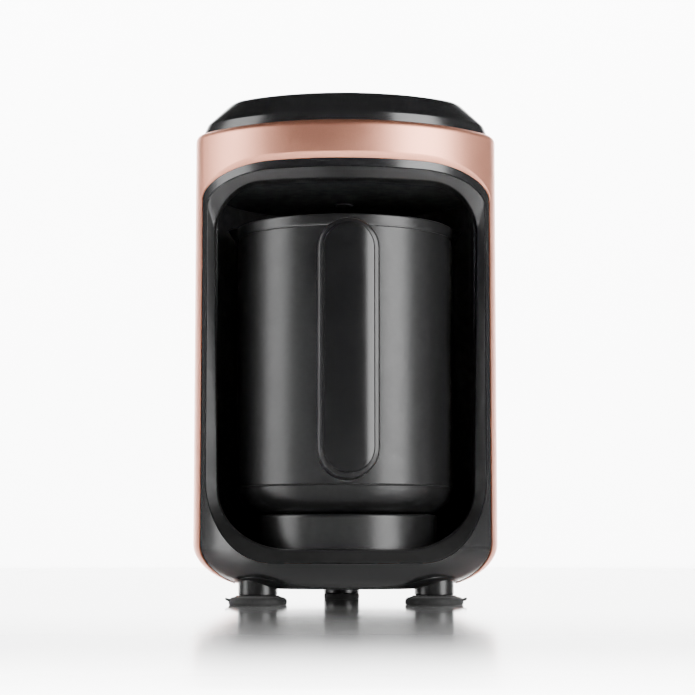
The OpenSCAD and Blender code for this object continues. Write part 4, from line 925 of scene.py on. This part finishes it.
def dock():
    """Hollow stand of the pot, with a groove round its top."""
    r, low, top = dock_high.x, dock_low.z, dock_high.z
    inner_r, groove_r, groove_low = r - DOCK_WALL, r - DOCK_GROOVE_IN, top - 0.5
    profile = [(0, top - DOCK_TOP_T), (inner_r, top - DOCK_TOP_T), (inner_r, low), (r, low), (r, top),
               (groove_r, top), (groove_r - 0.6, groove_low), (groove_r - 1.8, groove_low),
               (groove_r - 2.4, top), (0, top)]
    radii = (0, 0.5, 0.3, 0.3, 2.0, 0.3, 0.2, 0.2, 0.3, 0)
    dress(lathe("dock_stand", soft_profile(profile, radii, 5)), "satin_black", "housing", "dock")


# ---- control panel

BUTTON_R = 8.0
BUTTONS = ("button_left", "button_centre", "button_right")
LENS_R = 1.2
LENS_Y = 11.5


def control_panel():
    """Plate on the lid with the wells of the buttons and the holes of the lenses."""
    bottom = box_mm("control_panel")[0].z
    panel_y = PANEL_Y + BODY_Y
    outline = rounded_outline(PANEL_L - 0.3, PANEL_W - 0.3, PANEL_W / 2 - 0.2, ROUND_STEPS)
    panel = prism_z("control_panel_plate", outline, bottom, LID_TOP - 0.1, panel_y)
    for node in BUTTONS:
        low, high = box_mm(node)
        x = (low.x + high.x) / 2
        for name, hole in (("button_well", circle(x, 0, BUTTON_R + 0.3, 72)),
                           ("lens_hole", circle(x, LENS_Y, LENS_R + 0.1, 32))):
            cut(panel, prism_z(name, hole, bottom - 1, LID_TOP + 1, panel_y))
    round_edges(panel, 0.35, 3)
    dress(panel, "satin_black", "housing", "control_panel")


def push_button(node):
    """Round key with a dished top and a flange under the panel."""
    low, high = box_mm(node)
    x, y = (low.x + high.x) / 2, (low.y + high.y) / 2
    stalk_r, flange_r = 2.5, BUTTON_R + 1.6
    flange_low, flange_high = low.z + 2, low.z + 3.2
    profile = [(0, low.z), (stalk_r, low.z), (stalk_r, flange_low), (flange_r, flange_low),
               (flange_r, flange_high), (BUTTON_R, flange_high), (BUTTON_R, high.z),
               (BUTTON_R - 1.3, high.z), (3.5, high.z - 0.55), (0, high.z - 0.7)]
    radii = (0, 0.3, 0.2, 0.2, 0.2, 0.2, 0.8, 0.8, 2.0, 0)
    dress(lathe(node + "_key", soft_profile(profile, radii, 4), x, y, 96), "satin_black", node, node)


# ---- pot

POT_WALL = 2.4
POT_CORNER_R = 15.0
RIM_R = rim_high.y - POT_Y
SPOUT_TIP = rim_high.x
SPOUT_HALF = 11.0
SPOUT_H = 9.0
VESSEL_R = POT_R - 3.7
VESSEL_WALL = 1.0
VESSEL_CORNER_R = 12.0


def pot_shell():
    """Straight round wall with softened edges."""
    low, high = shell_low.z, shell_high.z
    inner = POT_R - POT_WALL
    profile = [(inner, low), (POT_R, low), (POT_R, high), (inner, high)]
    wall = soft_loop(profile, (0.2, 0.5, 0.2, 0.2), 4)
    dress(lathe("pot_shell_wall", wall), "satin_black", "pot", "pot_shell")


def pot_base():
    """Cup with a round lower corner, a foot ring and the socket's hole at the back."""
    low, high, corner, wall = base_low.z, base_high.z, POT_CORNER_R, POT_WALL
    outer = arc_points(POT_R - corner, low + corner, corner, corner, -90, 0, 24)
    outer = [p for p in outer if p[1] < high - 0.4] + [(POT_R, high - 0.4), (POT_R - 0.35, high)]
    inner = arc_points(POT_R - corner, low + corner, corner - wall, corner - wall, -90, 0, 12)
    inner = [p for p in inner if p[1] < high - 0.1] + [(POT_R - wall, high)]
    foot = [(0, low + 1.0), (POT_R - corner - 12, low + 1.0), (POT_R - corner - 11, low)]
    profile = foot + outer + list(reversed(inner)) + [(0, low + wall)]
    bottom = lathe("pot_base_cup", profile)
    s_low, s_high = box_mm("pot_socket")
    cut(bottom, box("socket_hole", s_low - Vector((0.1, 0.1, 0.1)), s_high + Vector((0.1, 5, 0.1))))
    dress(bottom, "satin_black", "pot", "pot_base")


def spout_bump(angle, z):
    """How far a pouring lip stands out at this angle and height, from 0 to 1."""
    across = abs(math.sin(angle)) * POT_R
    if across > SPOUT_HALF:
        return 0.0
    side = 0.5 + 0.5 * math.cos(math.pi * across / SPOUT_HALF)
    rise = max(0.0, min(1.0, (z - (rim_high.z - SPOUT_H)) / SPOUT_H))
    return side**0.8 * rise**1.5


def pot_rim():
    """Rim ring whose pouring lips swell out of it at both sides."""
    low, top, seat = rim_low.z, rim_high.z, shell_high.z
    turns = full_turn(2 * LATHE_STEPS)

    def ring(radius, z, wider=0.0, sinks=False):
        """Ring that bulges at the lips, and dips under them where it sinks."""
        made = []
        for a in turns:
            dip = (seat - low) * min(1.0, spout_bump(a, seat + 3) * 4) if sinks else 0
            r = radius + (SPOUT_TIP - RIM_R + wider) * spout_bump(a, z - dip)
            made.append((r * math.cos(a), POT_Y + r * math.sin(a), z - dip))
        return made

    rings = [ring(RIM_R - 0.35, seat, sinks=True), ring(RIM_R - 0.1, seat + 0.4)]
    rings += [ring(RIM_R, z) for z in (seat + 1.5, seat + 3, seat + 4.5, top - 0.8)]
    rings += [ring(RIM_R - 0.25, top - 0.25), ring(RIM_R - 0.8, top)]
    inner = VESSEL_R - VESSEL_WALL
    rings += [ring(inner + 1.3, top, 2.6), ring(inner + 0.6, top - 0.3, 2.4), ring(inner, top - 1.0, 2.0),
              ring(inner, top - 3.0, 1.0), ring(inner, seat + 0.2), ring(inner, seat, sinks=True)]
    dress(loft("pot_rim_ring", rings, loop=True), "satin_black", "pot", "pot_rim")


HANDLE_HALF_W = 15.0
HANDLE_LOW = 61.5
HANDLE_HIGH = 187.0
HANDLE_FACE = shell_low.y - 37.6
COVER_PROUD = 3.0
COVER_CROWN = 2.6
GRIP_T = 13.0
ARM_H = 13.0
COVER_MARGIN = 2.5
COVER_GAP = 0.35
COVER_SUNK = 2.5
CROWN_STEPS = 24
FINGER_GAP_R = 5.0


def stadium(half_w, height):
    return rounded_outline(2 * half_w, height, half_w - 0.01, ROUND_STEPS)


def handle_rings(profile, half_w, height, z):
    """Rings of an upright stadium along a profile of (inset, depth)."""
    return [at_depth(stadium(half_w - i, height - 2 * i), y, z) for i, y in profile]


def handle_frame():
    """Upright bow with a gap for the fingers, which meets the pot's wall above and below it."""
    height, mid = HANDLE_HIGH - HANDLE_LOW, (HANDLE_HIGH + HANDLE_LOW) / 2
    front = HANDLE_FACE + COVER_PROUD
    root = shell_low.y + 6
    profile = [(COVER_MARGIN + 0.6, front), (COVER_MARGIN, front), (0.5, front + 0.85), (0, front + 2.2),
               (0, root)]
    rings = handle_rings(soft_profile(profile, (0, 0.2, 0.8, 0.8, 0), 4), HANDLE_HALF_W, height, mid)
    body = loft("handle_frame_bow", rings)
    gap_low, gap_high, r = HANDLE_LOW + ARM_H, HANDLE_HIGH - ARM_H, FINGER_GAP_R
    corner_y = HANDLE_FACE + GRIP_T + r
    gap = [(root + 20, gap_low), (root + 20, gap_high)]
    gap += arc_points(corner_y, gap_high - r, r, r, 90, 180, 8)
    gap += arc_points(corner_y, gap_low + r, r, r, 180, 270, 8)
    cut(body, prism_x("finger_gap", gap, -2 * HANDLE_HALF_W, 2 * HANDLE_HALF_W))
    round_edges(body, 2.2, 4, 50)
    pot_r, above = POT_R + 0.05, 300.0
    pot = [(0, 0), (pot_r, 0), (pot_r, above), (0, above)]
    cut(body, lathe("pot_form", pot))
    cover = stadium(HANDLE_HALF_W - COVER_MARGIN, height - 2 * COVER_MARGIN)
    cut(body, prism_y("cover_seat", cover, front - 5, front + COVER_SUNK, mid))
    round_edges(body, 0.3, 2, 50)
    dress(body, "satin_black", "pot", "handle_frame")


def handle_cover():
    """Glossy insert, crowned across its width and trimmed to the frame's outline."""
    margin = COVER_MARGIN + COVER_GAP
    half, height = HANDLE_HALF_W - margin, HANDLE_HIGH - HANDLE_LOW - 2 * margin
    mid = (HANDLE_HIGH + HANDLE_LOW) / 2
    back = HANDLE_FACE + COVER_PROUD + COVER_SUNK
    cover = prism_y("handle_cover_insert", stadium(half, height), HANDLE_FACE - 5, back, mid)
    reach = half * 1.1
    across = [reach * (2 * i / CROWN_STEPS - 1) for i in range(CROWN_STEPS + 1)]
    crown = [(x, HANDLE_FACE + COVER_CROWN * (x / half) ** 2) for x in across]
    crown += [(reach, back + 5), (-reach, back + 5)]
    keep(cover, prism_z("crown", crown, HANDLE_LOW - 5, HANDLE_HIGH + 5, 0))
    round_edges(cover, 0.5, 3, 30)
    dress(cover, "cover_black", "pot", "handle_cover")


# ---- whisk

WHISK_DISC_R = 18.0
WHISK_DISC_T = 3.0
WHISK_HUB_R = 6.0
WHISK_RING_R = 24.0
WHISK_COIL_R = 2.2
WHISK_WIRE_R = 0.6
WHISK_WIRE_SIDES = 6
WHISK_TURNS = 44
WHISK_TURN_STEPS = 14
SPOKE_R = 1.2
PIVOT_BORE_R = 2.1
whisk_low, whisk_high = box_mm("whisk_hub")
RING_Z = whisk_high.z - WHISK_COIL_R


def whisk_hub():
    """Carrier disc and hub with two spokes."""
    low, high, disc_top = whisk_low.z, whisk_high.z, whisk_low.z + WHISK_DISC_T
    profile = [(PIVOT_BORE_R, low), (WHISK_DISC_R, low), (WHISK_DISC_R, disc_top),
               (WHISK_HUB_R + 0.8, disc_top), (WHISK_HUB_R, disc_top + 1.4), (WHISK_HUB_R, high),
               (PIVOT_BORE_R, high)]
    hub = lathe("whisk_hub_disc", soft_loop(profile, (0.3, 0.6, 1.2, 0.6, 0.8, 1.2, 0.3), 4), steps=96)
    wire = circle(POT_Y, RING_Z, SPOKE_R, 20)
    for side in (-1, 1):
        spoke = prism_x("whisk_spoke", wire, side * (WHISK_HUB_R - 0.5), side * (WHISK_RING_R - 0.4))
        dress(spoke, "steel", "whisk", "whisk_hub")
    dress(hub, "inner_black", "whisk", "whisk_hub")


def whisk_coil():
    """Wire coil that runs round the whisk as a ring."""
    count = WHISK_TURNS * WHISK_TURN_STEPS
    middle_r = WHISK_COIL_R - WHISK_WIRE_R

    def centre(k):
        """Middle of the wire at a step, and the way out from the coil's own middle."""
        turn = 2 * math.pi * k / count
        wind = turn * WHISK_TURNS
        out = Vector((math.cos(turn), math.sin(turn), 0))
        away = out * math.cos(wind) + Vector((0, 0, math.sin(wind)))
        return Vector((0, POT_Y, RING_Z)) + out * WHISK_RING_R + away * middle_r, away

    rings = []
    for k in range(count):
        here, away = centre(k)
        along = (centre(k + 1)[0] - centre(k - 1)[0]).normalized()
        away = (away - along * away.dot(along)).normalized()
        across = along.cross(away)
        rings.append([tuple(here + (away * math.cos(a) + across * math.sin(a)) * WHISK_WIRE_R)
                      for a in full_turn(WHISK_WIRE_SIDES)])
    dress(loft("whisk_wire", rings, loop=True), "steel", "whisk", "whisk_hub")


# ---- smooth inner pieces


def pot_vessel():
    """Drawn steel cup with a soft corner and a fine rolled edge."""
    low, high = box_mm("pot_vessel")
    wall, corner = VESSEL_WALL, VESSEL_CORNER_R
    outer = arc_points(VESSEL_R - corner, low.z + corner, corner, corner, -90, 0, 24)
    inner = arc_points(VESSEL_R - corner, low.z + corner, corner - wall, corner - wall, 0, -90, 24)
    profile = [(0, low.z)] + outer + [(VESSEL_R, high.z - 0.3), (VESSEL_R - 0.3, high.z),
                                      (VESSEL_R - wall + 0.3, high.z), (VESSEL_R - wall, high.z - 0.3)]
    profile += inner + [(0, low.z + wall)]
    dress(lathe("pot_vessel_cup", profile), "steel", "pot", "pot_vessel")


def cable_gland():
    """Rubber inlet with a stepped collar."""
    low, high = box_mm("cable_gland")
    step, wall_y = high.y - 0.7, sleeve_high.y
    profile = [(GLAND_BORE_R, high.y - 0.8), (GLAND_BORE_R + 0.8, high.y), (GLAND_NECK_R - 0.4, high.y),
               (GLAND_NECK_R, step), (GLAND_NECK_R + 0.8, step), (GLAND_COLLAR_R, high.y - 1.4),
               (GLAND_COLLAR_R, wall_y), (GLAND_NECK_R, wall_y), (GLAND_NECK_R, low.y), (GLAND_BORE_R, low.y)]
    ring = soft_loop(profile, (0.3, 0.3, 0.4, 0.3, 0.4, 1.0, 0.2, 0.2, 0.6, 0.2), 3)
    dress(lathe_y("cable_gland_ring", ring, GLAND_X, GLAND_Z, 72), "rubber_black", "housing", "cable_gland")


# ---- solids


def dress_solids():
    """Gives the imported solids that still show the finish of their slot."""
    for row in frame["record"]["subparts"]:
        solid = frame["nodes"][row["node"]]
        if not solid.hide_render:
            solid.data.materials.clear()
            solid.data.materials.append(MATERIALS[row["material_slot"]])


# ---- studio

# CAMERA, LENS and SENSOR are in millimetres, the studio's other lengths in metres, angles in degrees
CAMERA = (-22.0, -1027.5, 30.0)
LENS = 100.88
SENSOR = 36.0
PITCH = 5.787
TURN_RIGHT = 1.32


def studio_camera():
    data = bpy.data.cameras.new("camera")
    data.lens, data.sensor_width = LENS, SENSOR
    data.clip_start, data.clip_end = 0.05, 50
    camera = add_object("camera", data)
    camera.location = [way * MM for way in CAMERA]
    camera.rotation_euler = (math.radians(90 + PITCH), 0, -math.radians(TURN_RIGHT))
    bpy.context.scene.camera = camera


def softbox(name, centre, target, width, height, power, spread=180):
    """Rectangular light that faces its target and that the camera doesn't see."""
    data = bpy.data.lights.new(name, "AREA")
    data.shape = "RECTANGLE"
    data.spread = math.radians(spread)
    data.size, data.size_y = width, height
    data.energy = power
    light = add_object(name, data)
    light.location = centre
    light.rotation_euler = (Vector(target) - Vector(centre)).to_track_quat("-Z", "Y").to_euler()
    light.visible_camera = False


AIR_FRONT = 0.035
AIR_BACK = 0.22
GLOSS_MIDDLE = 0.5
GLOSS_NEAR = 0.66
GLOSS_FAR = 1.12
FLOOR_HALF_W = 6.0
FLOOR_NEAR = -4.0
FLOOR_SPLIT = -0.8
BACKDROP_Y = 3.2
BACKDROP_TURN_R = 1.2
BACKDROP_TOP = 5.0


def floor_material():
    """White floor, polished round the machine and matt further out."""
    finish = Finish("floor", 0.1)
    finish.colour(finish.noise(2, 2), (0.89, 0.89, 0.89), (0.91, 0.91, 0.91))
    reach = finish.nodes.new("ShaderNodeVectorMath")
    reach.operation = "DISTANCE"
    reach.inputs[1].default_value = (0, GLOSS_MIDDLE, 0)
    finish.links.new(finish.place, reach.inputs[0])
    far = reach.outputs["Value"]
    finish.links.new(finish.span(far, 0.05, 0.3, GLOSS_NEAR, GLOSS_FAR), finish.shader.inputs["Roughness"])
    polish = finish.span(far, 1.0, 0.0, GLOSS_NEAR, GLOSS_FAR)
    finish.links.new(polish, finish.shader.inputs["Specular IOR Level"])
    finish.links.new(polish, finish.shader.inputs["Coat Weight"])
    return finish.material


def studio_air():
    """Soft light from all round, dim overhead and in front."""
    world = bpy.data.worlds.new("studio")
    world.use_nodes = True
    nodes, links = world.node_tree.nodes, world.node_tree.links
    way = nodes.new("ShaderNodeTexCoord").outputs["Generated"]
    parts = nodes.new("ShaderNodeSeparateXYZ")
    links.new(way, parts.inputs["Vector"])

    def share(axis, *spans):
        return map_range(world.node_tree, parts.outputs[axis], *spans, "SMOOTHSTEP")

    strength = nodes.new("ShaderNodeMath")
    strength.operation = "MULTIPLY"
    links.new(share("Z", 0.15, 0.75, 1.0, 0.2), strength.inputs[0])
    links.new(share("Y", -0.95, -0.3, AIR_FRONT, AIR_BACK), strength.inputs[1])
    links.new(strength.outputs["Value"], nodes["Background"].inputs["Strength"])
    set_inputs(nodes["Background"], Color=(1, 1, 1, 1))
    return world


def around(azimuth, distance, height):
    """Place at an angle from the front, positive to the right."""
    turn = math.radians(azimuth)
    return distance * math.sin(turn), -distance * math.cos(turn), height


def studio():
    """Pale floor that rises into a backdrop, and soft lights from the sides and above."""
    r = BACKDROP_TURN_R
    path = [(FLOOR_NEAR, 0.0), (FLOOR_SPLIT, 0.0)] + arc_points(BACKDROP_Y - r, r, r, r, -90, 0, 16)
    path.append((BACKDROP_Y, BACKDROP_TOP))
    points = [(side * FLOOR_HALF_W / MM, y / MM, z / MM) for y, z in path for side in (-1, 1)]
    faces = [(2 * i, 2 * i + 1, 2 * i + 3, 2 * i + 2) for i in range(len(path) - 1)]
    sweep = new_object("backdrop", points, faces)
    sweep.data.materials.append(floor_material())
    sweep.data.shade_smooth()
    bpy.context.scene.world = studio_air()
    middle = (0, 0, 0.13)
    softbox("right_box", around(50, 1.65, 0.45), middle, 0.9, 1.6, 48)
    softbox("left_box", around(-76, 1.65, 0.45), middle, 0.8, 1.6, 24)
    softbox("floor_box", (0, -0.62, 0.8), (0, -0.62, 0), 2.6, 0.16, 20, 30)
    softbox("back_left", (-1.2, 1.5, 1.7), (-0.3, 3.2, 1.0), 1.4, 1.4, 340)
    softbox("back_right", (1.2, 1.5, 1.7), (0.3, 3.2, 1.0), 1.4, 1.4, 340)


studio_camera()
studio()
outer_sleeve()
front_frame()
opening_surround()
lid()
base_plate()
suction_foot(-1, "suction_foot_left")
suction_foot(1, "suction_foot_right")
rear_pad()
bay_liner()
dock()
control_panel()
for button in BUTTONS:
    push_button(button)
pot_shell()
pot_base()
pot_rim()
handle_frame()
handle_cover()
pot_vessel()
whisk_hub()
whisk_coil()
cable_gland()
dress_solids()
